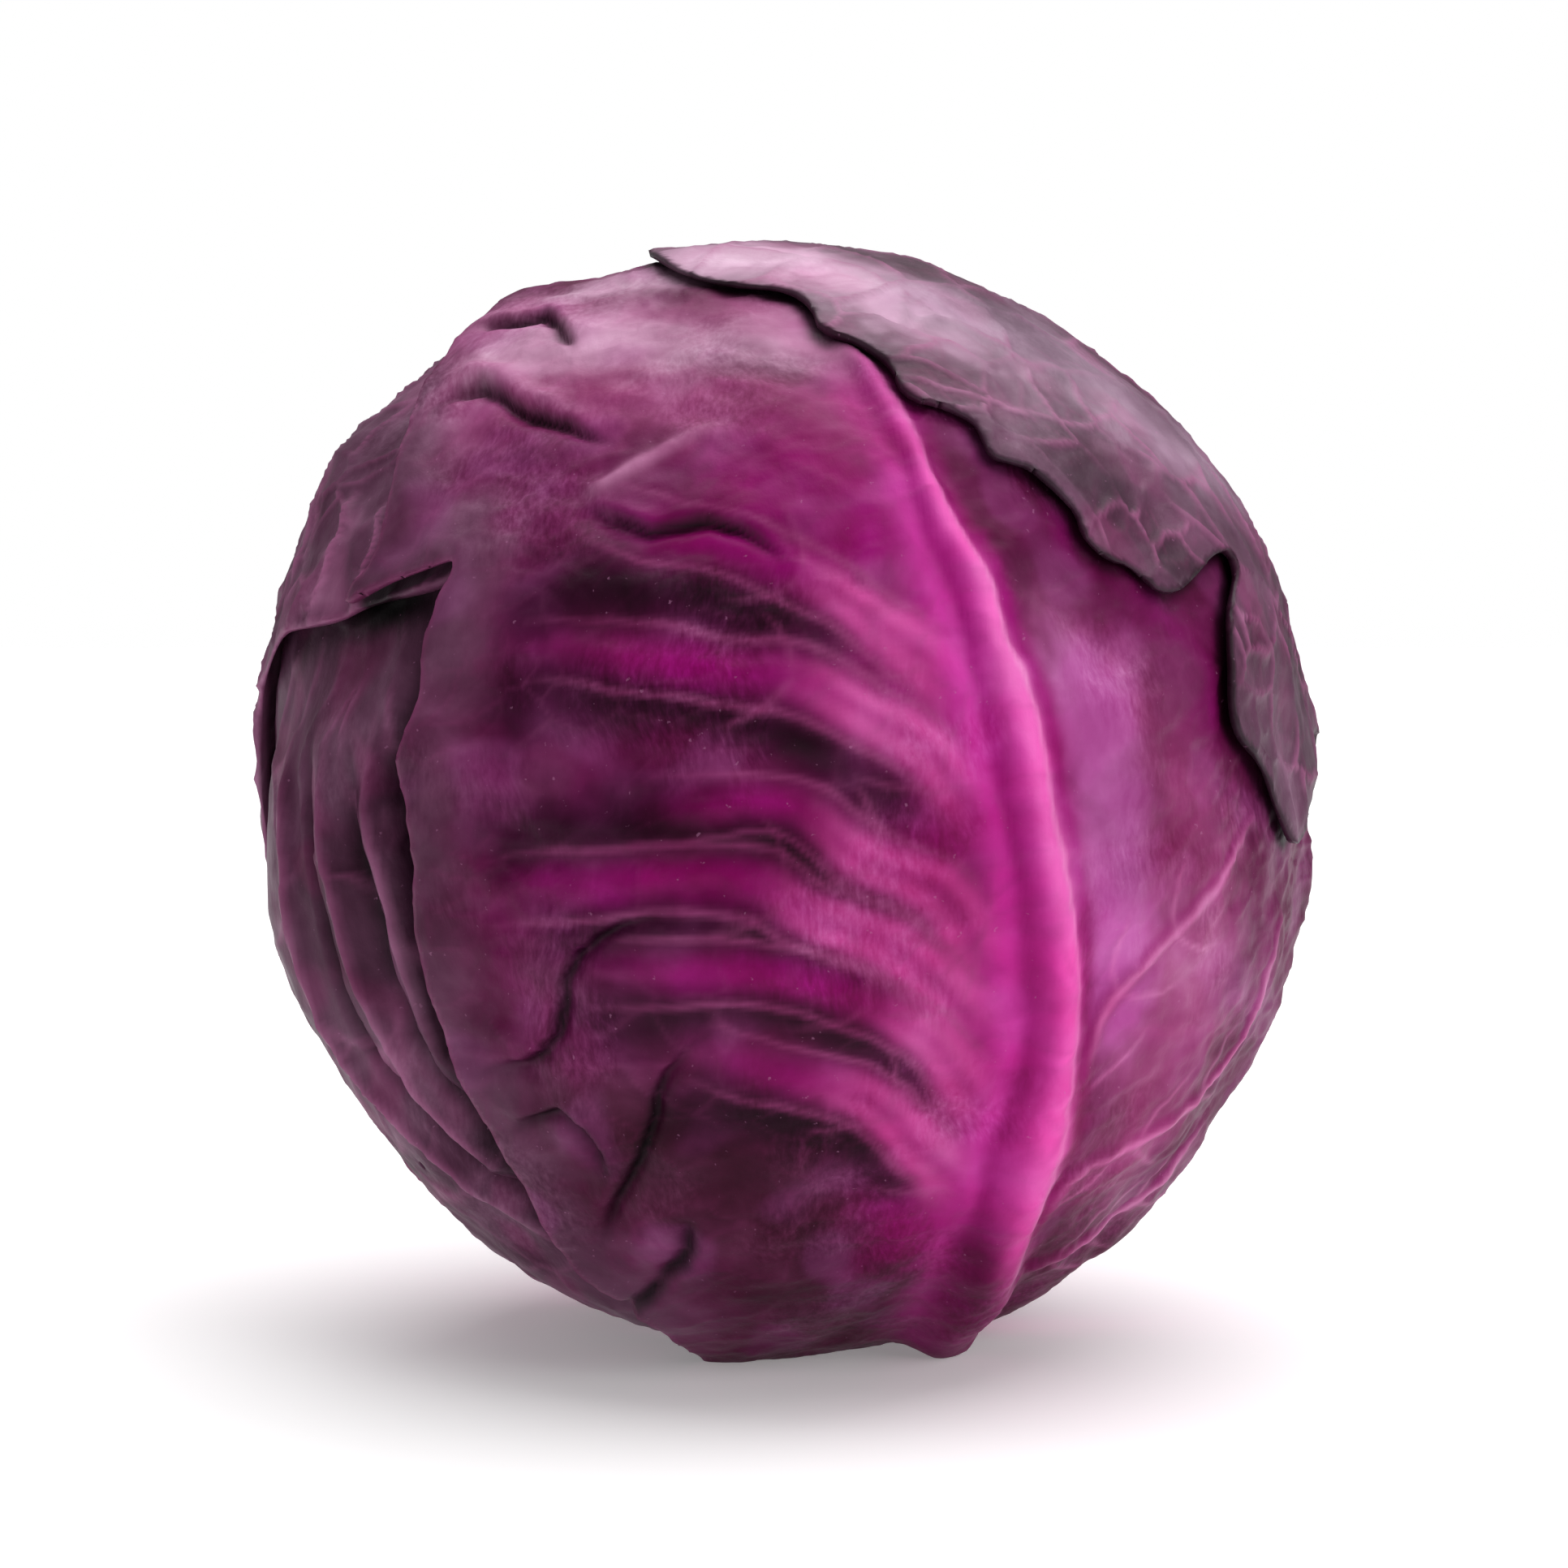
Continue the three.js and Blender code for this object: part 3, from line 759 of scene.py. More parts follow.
@dataclass
class LeafBuilder:
    """Makes a leaf's closed shell: a fine outer face, a rim and a plain inner face."""

    layers: Layers
    rings: int = 14

    def build(self, index: int) -> bpy.types.Object:
        """Builds one leaf.

        Args:
            index: the leaf's place in the layers.

        Returns:
            The finished object, with its colours as attributes.
        """
        leaf = self.layers.leaves[index]
        mesh_map = Chart(BALL.aimed([leaf.blade_middle])[0])
        bm = bmesh.new()
        self.spread_blade(bm, leaf, mesh_map)
        spots = np.array([v.co[:2] for v in bm.verts])
        directions = mesh_map.raise_up(spots)
        self.snap_edge(bm, leaf, directions)
        state = self.layers.at(directions)
        radii = self.layers.outer_radius(index, state, directions)
        points = BALL.place(directions, radii)
        for vert, point in zip(bm.verts, points):
            vert.co = point
        tint = leaf.tint(directions, state.edges[index])
        # painted shade: a lower leaf is darkened, unevenly, beside the edges of the leaves that lie over it
        for above in range(index + 1, len(self.layers.leaves)):
            gap = np.maximum(state.edges[above], 0) / leaf.shade_width
            uneven = 0.75 + 0.25 * np.tanh(2 * SHADE_PATTERN.at(directions))
            tint *= 1 - (SHADE_STRENGTH * uneven * np.exp(-(gap**2)))[:, None]
        tint_layer = bm.verts.layers.float_color.new("tint")
        for vert, colour in zip(bm.verts, np.clip(tint, 0, 1)):
            vert[tint_layer] = (*colour, 1.0)
        cut = [*bm.verts, *bm.edges, *bm.faces]
        bmesh.ops.bisect_plane(
            bm, geom=cut, dist=1e-7, plane_co=(0, 0, 0), plane_no=(0, 0, 1), clear_inner=True
        )
        self.close_behind(bm, index, leaf)
        bmesh.ops.recalc_face_normals(bm, faces=bm.faces)
        for face in bm.faces:
            face.smooth = True
        return finished(leaf.name, bm)

    def spread_blade(self, bm: bmesh.types.BMesh, leaf: WrapperLeaf, mesh_map: Chart) -> None:
        """Lays a flat grid over the leaf's map and trims it to the outline and the stalk's hole."""
        flat = mesh_map.flatten(leaf.fine)
        low, high = flat.min(axis=0) - leaf.grain, flat.max(axis=0) + leaf.grain
        half = (high - low) / 2
        centre = (high + low) / 2
        cells = np.ceil(2 * half / leaf.grain).astype(int)
        spread = Matrix.Translation((centre[0], centre[1], 0)) @ Matrix.Diagonal((half[0], half[1], 1, 1))
        bmesh.ops.create_grid(bm, x_segments=int(cells[0]), y_segments=int(cells[1]), size=1, matrix=spread)
        spots = np.array([v.co[:2] for v in bm.verts])
        directions = mesh_map.raise_up(spots)
        outside = leaf.edge_distance(directions)
        from_stalk = STALK_HOLE - BALL.mean_radius * np.arccos(np.clip(-directions[:, 2], -1, 1))
        outside = np.maximum(outside, from_stalk)
        outside[np.linalg.norm(spots, axis=1) > math.pi * BALL.mean_radius] = 1.0
        bm.verts.index_update()
        far = [f for f in bm.faces if sum(outside[v.index] for v in f.verts) > 0]
        bmesh.ops.delete(bm, geom=far, context="FACES")
        bm.verts.index_update()

    def snap_edge(self, bm: bmesh.types.BMesh, leaf: WrapperLeaf, directions: Array) -> None:
        """Moves the trimmed grid's edge onto the outline, or onto the stalk's hole."""
        bm.verts.index_update()
        rim = np.array([v.index for v in bm.verts if v.is_boundary])
        lie = nearest_on(leaf.fine, directions[rim], closed=True)
        ring = np.vstack([leaf.fine, leaf.fine[:1]])
        place = lie.share * len(leaf.fine)
        onto = np.stack([np.interp(place, np.arange(len(ring)), ring[:, k]) for k in range(3)], axis=1)
        polar = np.arccos(np.clip(-directions[rim, 2], -1, 1)) * BALL.mean_radius
        by_stalk = np.abs(polar - STALK_HOLE) < lie.distance
        angle = STALK_HOLE / BALL.mean_radius
        turned = directions[rim].copy()
        turned[:, 2] = 0
        hole = math.sin(angle) * unit(turned + 1e-9) + [0, 0, -math.cos(angle)]
        directions[rim] = unit(np.where(by_stalk[:, None], hole, onto))

    def close_behind(self, bm: bmesh.types.BMesh, index: int, leaf: WrapperLeaf) -> None:
        """Gives the blade its thickness: a rim, and rings that close its inner face."""
        edges = [e for e in bm.edges if e.is_boundary]
        heart = leaf.chart.middle
        verts: list[bmesh.types.BMVert] = []
        starts = None
        for ring in range(self.rings):
            geometry = bmesh.ops.extrude_edge_only(bm, edges=edges)["geom"]
            verts = [g for g in geometry if isinstance(g, bmesh.types.BMVert)]
            edges = [g for g in geometry if isinstance(g, bmesh.types.BMEdge)]
            now = BALL.directions_of(np.array([v.co for v in verts]))
            starts = now if starts is None else starts
            share = (ring / self.rings) ** 0.8 if ring else 0.0
            left = (1 - share) / (1 - ((ring - 1) / self.rings) ** 0.8) if ring > 1 else 1 - share
            spots = leaf.chart.flatten(now) * left
            onto = leaf.chart.raise_up(spots) if ring else now
            state = self.layers.at(onto)
            radii = self.layers.back_radius(index, state)
            for vert, point in zip(verts, BALL.place(onto, radii)):
                vert.co = (point[0], point[1], max(point[2], 0.0))
        state = self.layers.at(heart[None, :])
        end = BALL.place(heart[None, :], self.layers.back_radius(index, state))[0]
        bmesh.ops.pointmerge(bm, verts=verts, merge_co=Vector(end))


def finished(name: str, bm: bmesh.types.BMesh) -> bpy.types.Object:
    """Turns a bmesh in metres into a linked object at the origin."""
    mesh = bpy.data.meshes.new(name)
    bm.to_mesh(mesh)
    bm.free()
    piece = bpy.data.objects.new(name, mesh)
    bpy.context.scene.collection.objects.link(piece)
    return piece


# ----------------------------------------------------------------------------------------------------------
# Finishes


def new_group(name: str, inputs: list[tuple[str, str, object]], outputs: list[tuple[str, str]]):
    """A shader node group with named sockets.

    Args:
        name: the group's name.
        inputs: name, socket type and default of each input.
        outputs: name and socket type of each output.

    Returns:
        The group's tree with its input and output nodes.
    """
    tree = bpy.data.node_groups.new(name, "ShaderNodeTree")
    for label, kind, default in inputs:
        socket = tree.interface.new_socket(name=label, in_out="INPUT", socket_type=kind)
        socket.default_value = default
    for label, kind in outputs:
        tree.interface.new_socket(name=label, in_out="OUTPUT", socket_type=kind)
    return tree, tree.nodes.new("NodeGroupInput"), tree.nodes.new("NodeGroupOutput")


@dataclass
class Wiring:
    """Short ways to add and join shader nodes in one tree."""

    tree: bpy.types.NodeTree

    def node(self, kind: str, **settings: object) -> bpy.types.Node:
        """Adds a node and sets its properties."""
        made = self.tree.nodes.new(kind)
        for name, value in settings.items():
            setattr(made, name, value)
        return made

    def join(self, source: object, target: object) -> None:
        """Links a socket to a socket, or sets the target's value."""
        if isinstance(source, bpy.types.NodeSocket):
            self.tree.links.new(source, target)
        else:
            target.default_value = source

    def math(self, operation: str, *values: object) -> bpy.types.NodeSocket:
        """A Math node's result."""
        made = self.node("ShaderNodeMath", operation=operation)
        for value, socket in zip(values, made.inputs):
            self.join(value, socket)
        return made.outputs[0]

    def mix(self, factor: object, first: object, second: object, blend: str = "MIX"):
        """A colour Mix node's result."""
        made = self.node("ShaderNodeMix", data_type="RGBA", blend_type=blend, clamp_factor=True)
        self.join(factor, made.inputs["Factor"])
        self.join(first, made.inputs[6])
        self.join(second, made.inputs[7])
        return made.outputs[2]

    def ramp(self, value: object, low: float, high: float):
        """A smooth 0 to 1 step between two values."""
        made = self.node("ShaderNodeMapRange", interpolation_type="SMOOTHSTEP")
        self.join(value, made.inputs["Value"])
        made.inputs["From Min"].default_value = low
        made.inputs["From Max"].default_value = high
        return made.outputs["Result"]

    def noise(self, vector: object, scale: float, detail: float = 4.0, roughness: float = 0.55):
        """A Noise texture's value."""
        made = self.node("ShaderNodeTexNoise")
        self.join(vector, made.inputs["Vector"])
        made.inputs["Scale"].default_value = scale
        made.inputs["Detail"].default_value = detail
        made.inputs["Roughness"].default_value = roughness
        return made.outputs["Fac"]

    def warped(self, vector: object, scale: float, reach: float) -> bpy.types.NodeSocket:
        """Coordinates pushed about by noise, so that a pattern on them loses its evenness."""
        push = self.node("ShaderNodeTexNoise")
        self.join(vector, push.inputs["Vector"])
        push.inputs["Scale"].default_value = scale
        made = self.node("ShaderNodeVectorMath", operation="MULTIPLY_ADD")
        self.join(push.outputs["Color"], made.inputs[0])
        made.inputs[1].default_value = (reach, reach, reach)
        self.join(vector, made.inputs[2])
        return made.outputs[0]

    def stretched(self, vector: object, scale: tuple[float, float, float], turn: float = 0.0):
        """Coordinates stretched along an axis, and turned about Y, for streaks."""
        made = self.node("ShaderNodeMapping")
        self.join(vector, made.inputs["Vector"])
        made.inputs["Scale"].default_value = scale
        made.inputs["Rotation"].default_value = (0, turn, 0)
        return made.outputs[0]


def skin_group() -> bpy.types.NodeTree:
    """The waxy skin that every leaf shares: tint in, colour, roughness and height out."""
    inputs = [
        ("Tint", "NodeSocketColor", (0.2, 0.02, 0.1, 1)),
        ("Wax", "NodeSocketFloat", 0.2),
        ("Fibre", "NodeSocketFloat", 0.3),
        ("Mottle", "NodeSocketFloat", 0.5),
    ]
    outputs = [
        ("Color", "NodeSocketColor"),
        ("Roughness", "NodeSocketFloat"),
        ("Height", "NodeSocketFloat"),
    ]
    tree, taken, given = new_group("waxy_leaf_skin", inputs, outputs)
    w = Wiring(tree)
    place = w.node("ShaderNodeTexCoord").outputs["Object"]
    mottle = w.noise(w.warped(place, 45, 0.02), 80, 6, 0.5)
    cloud = w.noise(w.warped(place, 25, 0.02), 34, 4, 0.55)
    fibre = w.noise(w.stretched(w.warped(place, 40, 0.01), (1300, 900, 400), 0.12), 1.0, 3, 0.6)
    bare = w.ramp(w.noise(place, 42, 2), 0.46, 0.62)
    speck = w.noise(place, 1100, 2, 0.5)
    # where the pigment is denser the tint is darker and purer
    density = w.math("MULTIPLY_ADD", w.math("SUBTRACT", mottle, 0.5), taken.outputs["Mottle"], 1.0)
    density = w.math("MULTIPLY_ADD", w.math("SUBTRACT", cloud, 0.5), 0.9, density)
    thread = w.math("MULTIPLY", w.math("SUBTRACT", fibre, 0.5), taken.outputs["Fibre"])
    thread = w.math("MULTIPLY", thread, bare)
    dense = w.node("ShaderNodeGamma")
    w.join(taken.outputs["Tint"], dense.inputs["Color"])
    w.join(w.math("ADD", density, thread), dense.inputs["Gamma"])
    # the bluish wax, thin and patchy
    patches = w.ramp(w.noise(w.warped(place, 60, 0.01), 60, 5, 0.65), 0.42, 0.72)
    waxy = w.math("MULTIPLY", patches, taken.outputs["Wax"])
    waxed = w.mix(waxy, dense.outputs["Color"], (0.25, 0.17, 0.24, 1))
    flecks = w.math("MULTIPLY", w.ramp(speck, 0.71, 0.78), 0.25)
    w.join(w.mix(flecks, waxed, (0.5, 0.2, 0.38, 1)), given.inputs["Color"])
    rough = w.math("MULTIPLY_ADD", mottle, 0.3, 0.26)
    rough = w.math("ADD", rough, w.math("MULTIPLY", waxy, 0.15))
    w.join(w.math("ADD", rough, w.math("MULTIPLY", fibre, 0.1)), given.inputs["Roughness"])
    height = w.math("ADD", w.math("MULTIPLY", mottle, 0.9), w.math("MULTIPLY", fibre, 0.12))
    w.join(w.math("ADD", height, w.math("MULTIPLY", speck, 0.1)), given.inputs["Height"])
    return tree


@dataclass(frozen=True)
class LeafFinish:
    """A wrapper leaf's finish over its painted tint."""

    name: str
    wax: float
    fibre: float
    mottle: float
    specular: float = 0.08

    def material(self, skin: bpy.types.NodeTree) -> bpy.types.Material:
        """Makes the material from the shared skin."""
        made = bpy.data.materials.new(self.name)
        made.use_nodes = True
        w = Wiring(made.node_tree)
        shader = made.node_tree.nodes["Principled BSDF"]
        tint = w.node("ShaderNodeAttribute", attribute_name="tint", attribute_type="GEOMETRY")
        group = w.node("ShaderNodeGroup", node_tree=skin)
        w.join(tint.outputs["Color"], group.inputs["Tint"])
        group.inputs["Wax"].default_value = self.wax
        group.inputs["Fibre"].default_value = self.fibre
        group.inputs["Mottle"].default_value = self.mottle
        bump = w.node("ShaderNodeBump")
        bump.inputs["Strength"].default_value = 0.5
        bump.inputs["Distance"].default_value = 0.0008
        w.join(group.outputs["Height"], bump.inputs["Height"])
        w.join(group.outputs["Color"], shader.inputs["Base Color"])
        w.join(group.outputs["Roughness"], shader.inputs["Roughness"])
        w.join(bump.outputs["Normal"], shader.inputs["Normal"])
        shader.inputs["Specular IOR Level"].default_value = self.specular
        return made


# ----------------------------------------------------------------------------------------------------------
# Colours

MAGENTA = tone(134, 2, 94)
HOT = tone(196, 46, 150)
WINE = tone(94, 3, 64)
PLUM = tone(92, 18, 64)
MAROON = tone(54, 6, 38)
BLACKISH = tone(30, 3, 20)
# painted shade: near black, for the deepest creases and gaps
CREASE_SHADE = tone(8, 0, 5)
BROWN = tone(68, 22, 46)
PINK = tone(190, 68, 142)
ROSE = tone(228, 96, 180)
PALE_ROSE = tone(226, 130, 188)
LILAC = tone(190, 92, 168)
DUSTY = tone(148, 60, 112)
DUSTY_PINK = tone(166, 96, 138)
# partly the waxy bloom, partly a painted highlight and reflection of the light above
BLOOM_AND_HIGHLIGHT_LILAC = tone(206, 162, 190)
ASH = tone(150, 120, 142)
MAUVE = tone(96, 58, 82)


def ridged(lines: list[Array], height: float, width: float) -> list[Mark]:
    """Low ridges along lines, in mm."""
    return [Mark(Form.RIDGE, line, (height, 0.7 * height), (width, 0.7 * width)) for line in lines]


def creased(lines: list[Array], depth: float, width: float) -> list[Mark]:
    """Valleys along lines, in mm."""
    return [Mark(Form.CREASE, line, (depth, 0.8 * depth), (width, 0.8 * width)) for line in lines]


def painted(lines: list[Array], colour: Colour, width: float, strength: float) -> list[Wash]:
    """The same wash along each line, narrower towards its end."""
    return [Wash(colour, line, (width, 0.7 * width), strength) for line in lines]


def beside(line: Array, shifts: tuple[float, float]) -> Array:
    """A line to the right of another, by so many mm at its start and at its end."""
    sideways = unit(np.cross(np.gradient(line, axis=0), line))
    shift = np.linspace(shifts[0], shifts[1], len(line)) / BALL.mean_radius
    return unit(line + sideways * shift[:, None])


# ----------------------------------------------------------------------------------------------------------
# The front leaf


# The front leaf's free edge on the front drawing, from the butt up: beside the left leaf, then above it.
FREE_EDGE_LOW = (
    (-19, 5), (-28, 10), (-35, 19), (-41, 30), (-46.5, 41), (-51, 54), (-52, 65), (-52.5, 77),
    (-53, 80), (-51, 86), (-49.5, 91), (-49.5, 97), (-48, 105), (-46, 109.5),
)
FREE_EDGE_HIGH = ((-53, 107), (-61, 103), (-57, 109.5), (-55.5, 117.5), (-49, 136), (-43, 142.5))


def front_leaf() -> WrapperLeaf:
    """The big leaf on the front, with its midrib on the right."""
    d, a = BALL.drawn, BALL.aimed
    free_edge = [*FREE_EDGE_LOW, *FREE_EDGE_HIGH]
    outline = np.vstack([
        d(free_edge),
        a([
            [-119, 72], [180, 76], [132, 66], [112, 50], [104, 30], [98, 13], [90, -7], [84, -23], [82, -39],
            [78, -53], [72, -68], [66, -81], [-25, -81],
        ]),
    ])
    midrib = d([
        [23, 0], [32, 17], [37, 34], [38, 51], [36, 68.5], [33, 85.5], [28, 103], [22, 118], [15, 133],
        [7, 143],
    ])
    left_veins = [
        d([[26, 91], [17, 99], [11, 103], [2, 108], [-8, 113], [-19, 115], [-30, 119]]),
        d([[28, 73], [21, 82], [11, 89], [2, 93], [-8, 95], [-21, 97], [-37, 97]]),
        d([[30, 51], [21, 63], [13, 67], [4, 73], [-5, 75], [-19, 74]]),
        d([[30, 40], [24, 48], [15, 55], [4, 59], [-3, 62], [-17, 65], [-28, 64], [-42, 62]]),
        d([[31, 29], [27, 34], [21, 41], [13, 46], [4, 49], [-10, 51], [-28, 51]]),
        d([[27, 19], [15, 29], [4, 34], [-8, 37], [-12, 39]]),
    ]
    right_veins = [
        d([[38, 29], [43, 40], [47, 48], [61, 63], [68, 74]]),
        d([[35, 14], [41, 23], [55, 31], [64, 41], [68, 51], [71, 60]]),
        d([[35, 10], [49, 19], [59, 30]]),
    ]
    panels = [
        d([[-37, 89], [-30, 91], [-19, 91], [-8, 90], [4, 84], [14, 77]]),
        d([[-36, 104], [-28, 107], [-19, 106], [-8, 104], [4, 99]]),
        d([[-38, 68], [-30, 71], [-19, 72], [-8, 70], [4, 66], [14, 60], [22, 52]]),
        d([[-28, 57], [-19, 58], [-8, 57], [4, 54], [14, 48]]),
        d([[-24, 45], [-13, 46], [-2, 46], [10, 41], [19, 34]]),
        d([[-12, 31], [-2, 30], [9, 26], [16, 20]]),
    ]
    near_parts = [vein[: len(vein) // 2 + 1] for vein in left_veins]
    left_small = [line for vein in left_veins for line in pinnate(vein, 2, 13)]
    right_small = [line for vein in right_veins for line in pinnate(vein, 3, 14)]
    folds = [
        drawn((-43, 142), (-39, 143), (-35, 145), (-30, 141)),
        drawn((-50, 131), (-44, 135), (-38, 132), (-31, 130), (-25, 128)),
        drawn((-31, 119), (-20, 115), (-9, 116), (0, 110)),
        drawn((-43, 38), (-36, 39), (-32, 44), (-31, 52), (-24, 58), (-16, 60)),
        drawn((-26, 13), (-22, 21), (-19, 29), (-17, 37), (-11, 41)),
        drawn((-38, 30), (-32, 32), (-27, 27), (-25, 22)),
        drawn((-14, 16), (-14, 11), (-18, 7), (-24, 6)),
    ]
    lit_rims = [drawn((-47, 136), (-42, 137), (-36, 134), (-30, 132)), drawn((-31, 120), (-19, 125), (-8, 130))]
    marks = [
        rib(midrib, (4.6, 0.9), (5.4, 1.6)),
        *[rib(v, (0.9, 0.3), (2.8, 1.3)) for v in left_veins],
        *[rib(v, (0.8, 0.35), (1.9, 0.9)) for v in right_veins],
        *ridged([*left_small, *right_small], 0.15, 0.8),
        *ridged(panels, 0.8, 4.5),
        *ridged(lit_rims, 1.0, 2.0),
        *[Mark(Form.LIP, fold, (1.2, 1.0), (6, 4.5)) for fold in folds],
        *creased(folds, 1.5, 1.0),
    ]
    twin_bands = [beside(vein, (shift, shift / 2)) for vein in near_parts for shift in (-2.6, 2.6)]
    side_lines = [beside(vein, (shift, shift)) for vein in left_veins for shift in (-4.6, 4.4)]
    grounds = [
        stroke(BROWN, (17, 15), 0.9, (-22, 28), (-4, 14), (12, 6)),
        Wash(MAUVE, d(free_edge), (10, 9), 0.85),
        stroke(DUSTY, (11, 9), 0.9, (-40, 136), (-14, 135), (6, 130)),
        # the crown is painted lighter: partly the waxy bloom, partly a painted highlight and reflection of
        # the light above
        stroke(DUSTY_PINK, (9, 9), 0.95, (-42, 142), (-20, 144), (4, 145)),
        stroke(BLOOM_AND_HIGHLIGHT_LILAC, (7, 6), 0.5, (-38, 140), (-16, 141), (6, 141)),
        stroke(BLOOM_AND_HIGHLIGHT_LILAC, (6, 6), 0.85, (-26, 149), (0, 151)),
        stroke(MAGENTA, (10, 9), 0.9, (0, 122), (18, 108), (24, 84), (24, 54), (22, 30), (20, 14)),
        stroke(DUSTY, (17, 14), 0.92, (46, 90), (55, 64), (50, 30)),
        # the pale lilac patch right of the midrib is partly a painted highlight from the light on the right
        stroke(LILAC, (8, 7), 0.8, (43, 92), (46, 66), (46, 46)),
        stroke(WINE, (9, 8), 0.95, (42, 112), (54, 100), (64, 88)),
    ]
    dapples = [
        Dapple(WINE, Ripple(106, 16), 0.25),
        Dapple(MAUVE, Ripple(107, 26), 0.18),
        Dapple(LILAC, Ripple(108, 34), 0.12),
    ]
    washes = [
        *painted(panels, MAROON, 6.4, 0.93),
        *painted(panels, BLACKISH, 3.4, 0.75),
        *painted(left_veins, MAGENTA, 3.6, 0.85),
        *painted(twin_bands, PINK, 2.2, 0.85),
        *painted(side_lines, DUSTY, 0.7, 0.5),
        *painted(left_small, DUSTY, 0.6, 0.3),
        *painted(right_veins, MAGENTA, 2.2, 0.75),
        *painted(right_veins, PALE_ROSE, 0.9, 0.5),
        *painted(right_small, PALE_ROSE, 0.5, 0.25),
        Wash(HOT, beside(midrib, (-7, -4)), (4.4, 3.0), 0.8),
        # the magenta bands down both flanks of the midrib are partly painted shade on its sides
        Wash(MAGENTA, beside(midrib, (-5, -2)), (1.8, 1.2), 0.9),
        Wash(MAGENTA, beside(midrib, (6, 3)), (2.4, 1.6), 0.85),
        Wash(HOT, midrib, (4.8, 1.6), 0.93),
        Wash(ROSE, beside(midrib, (1.0, 0.3)), (3.0, 0.8), 0.95),
        # painted highlight: a thin pale line along the midrib's right side
        Wash(PALE_ROSE, beside(midrib, (3.0, 1.0)), (0.6, 0.4), 0.55),
        stroke(WINE, (4.6, 4.2), 0.9, (24, 2), (27, 12), (29, 20)),
        # painted highlight: pale lines on the rolled tops of the folds; painted shade: near black down the
        # folds
        *painted(lit_rims, DUSTY_PINK, 1.6, 0.8),
        *painted(folds, CREASE_SHADE, 1.1, 0.93),
    ]
    crumples = [
        Crumple(0.28, Ripple(101, 30, (1, 1, 1.4))),
        Crumple(0.14, Ripple(102, 75, (1, 1, 1.6))),
        Crumple(0.05, Ripple(103, 190)),
    ]
    nets = [Net(Cells(104, 7.0, (1, 1, 1.5)), 0.1, 0.45, DUSTY, 0.08, 0.2)]
    return WrapperLeaf(
        name="front_wrapper_leaf", node="leaf_front", slot="wrapper_leaf_front", heart_point=(0, 40),
        blade_middle=(12, 8), outline=outline, lift=1.6, edge_depth=0.5, base_tint=PLUM, grain=0.66,
        marks=marks, grounds=grounds, dapples=dapples, washes=washes, crumples=crumples, nets=nets,
        # the pale band along its edge is partly a painted highlight on the rolled margin
        edge_tint=DUSTY,
        edge_width=0.5, edge_strength=0.35,
    )


# ----------------------------------------------------------------------------------------------------------
# The other leaves


def pinnate(midrib: Array, pairs: int, reach: float) -> list[Array]:
    """Side veins that leave a midrib in pairs and bend towards its tip."""
    path = smooth_path(midrib, False, OUTLINE_STEP)
    veins = []
    for k in range(pairs):
        share = 0.12 + 0.7 * k / pairs
        start = path[int(share * (len(path) - 1))]
        onward = unit(path[int(share * (len(path) - 1)) + 1] - start)
        length = reach * (1 - 0.45 * share) / BALL.mean_radius
        for side in (-1, 1):
            sideways = np.cross(onward, start) * side
            veins.append(unit(np.array([
                start + sideways * length * t * (1 - 0.2 * t) + onward * length * t * (0.45 + 0.35 * t)
                for t in (0, 0.33, 0.66, 1)
            ])))
    return veins


@dataclass(frozen=True)
class BackLeafColours:
    """The few colours of a leaf that shows little."""

    ground: Colour
    panel: Colour
    vein: Colour
    rib: Colour


def veined(midrib: Array, height: tuple[float, float], pairs: int, reach: float,
           colours: BackLeafColours) -> tuple[list[Mark], list[Wash]]:
    """Marks and washes of a leaf with one midrib and paired side veins.

    Args:
        midrib: the midrib's line.
        height: its height at its base and its tip, in mm.
        pairs: how many pairs of side veins it has.
        reach: length of the lowest ones, in mm.
        colours: what they are painted with.

    Returns:
        The marks and the washes.
    """
    veins = pinnate(midrib, pairs, reach)
    small = [v for vein in veins for v in pinnate(vein, 2, 17)]
    marks = [
        rib(midrib, height, (5.4, 1.6)),
        *[rib(v, (0.8, 0.3), (1.9, 0.9)) for v in veins],
        *[Mark(Form.RIDGE, v, (0.3, 0.15), (0.9, 0.6)) for v in small],
    ]
    washes = [
        *[Wash(colours.panel, v, (9, 6), 0.5) for v in small[::2]],
        *[Wash(MAGENTA, v, (4.5, 2.5), 0.7) for v in veins],
        *[Wash(colours.vein, v, (1.5, 0.8), 0.75) for v in veins],
        *[Wash(colours.vein, v, (0.6, 0.45), 0.5) for v in small],
        Wash(HOT, midrib, (6.5, 2.2), 0.7),
        Wash(colours.rib, midrib, (3.2, 1.0), 0.85),
    ]
    return marks, washes


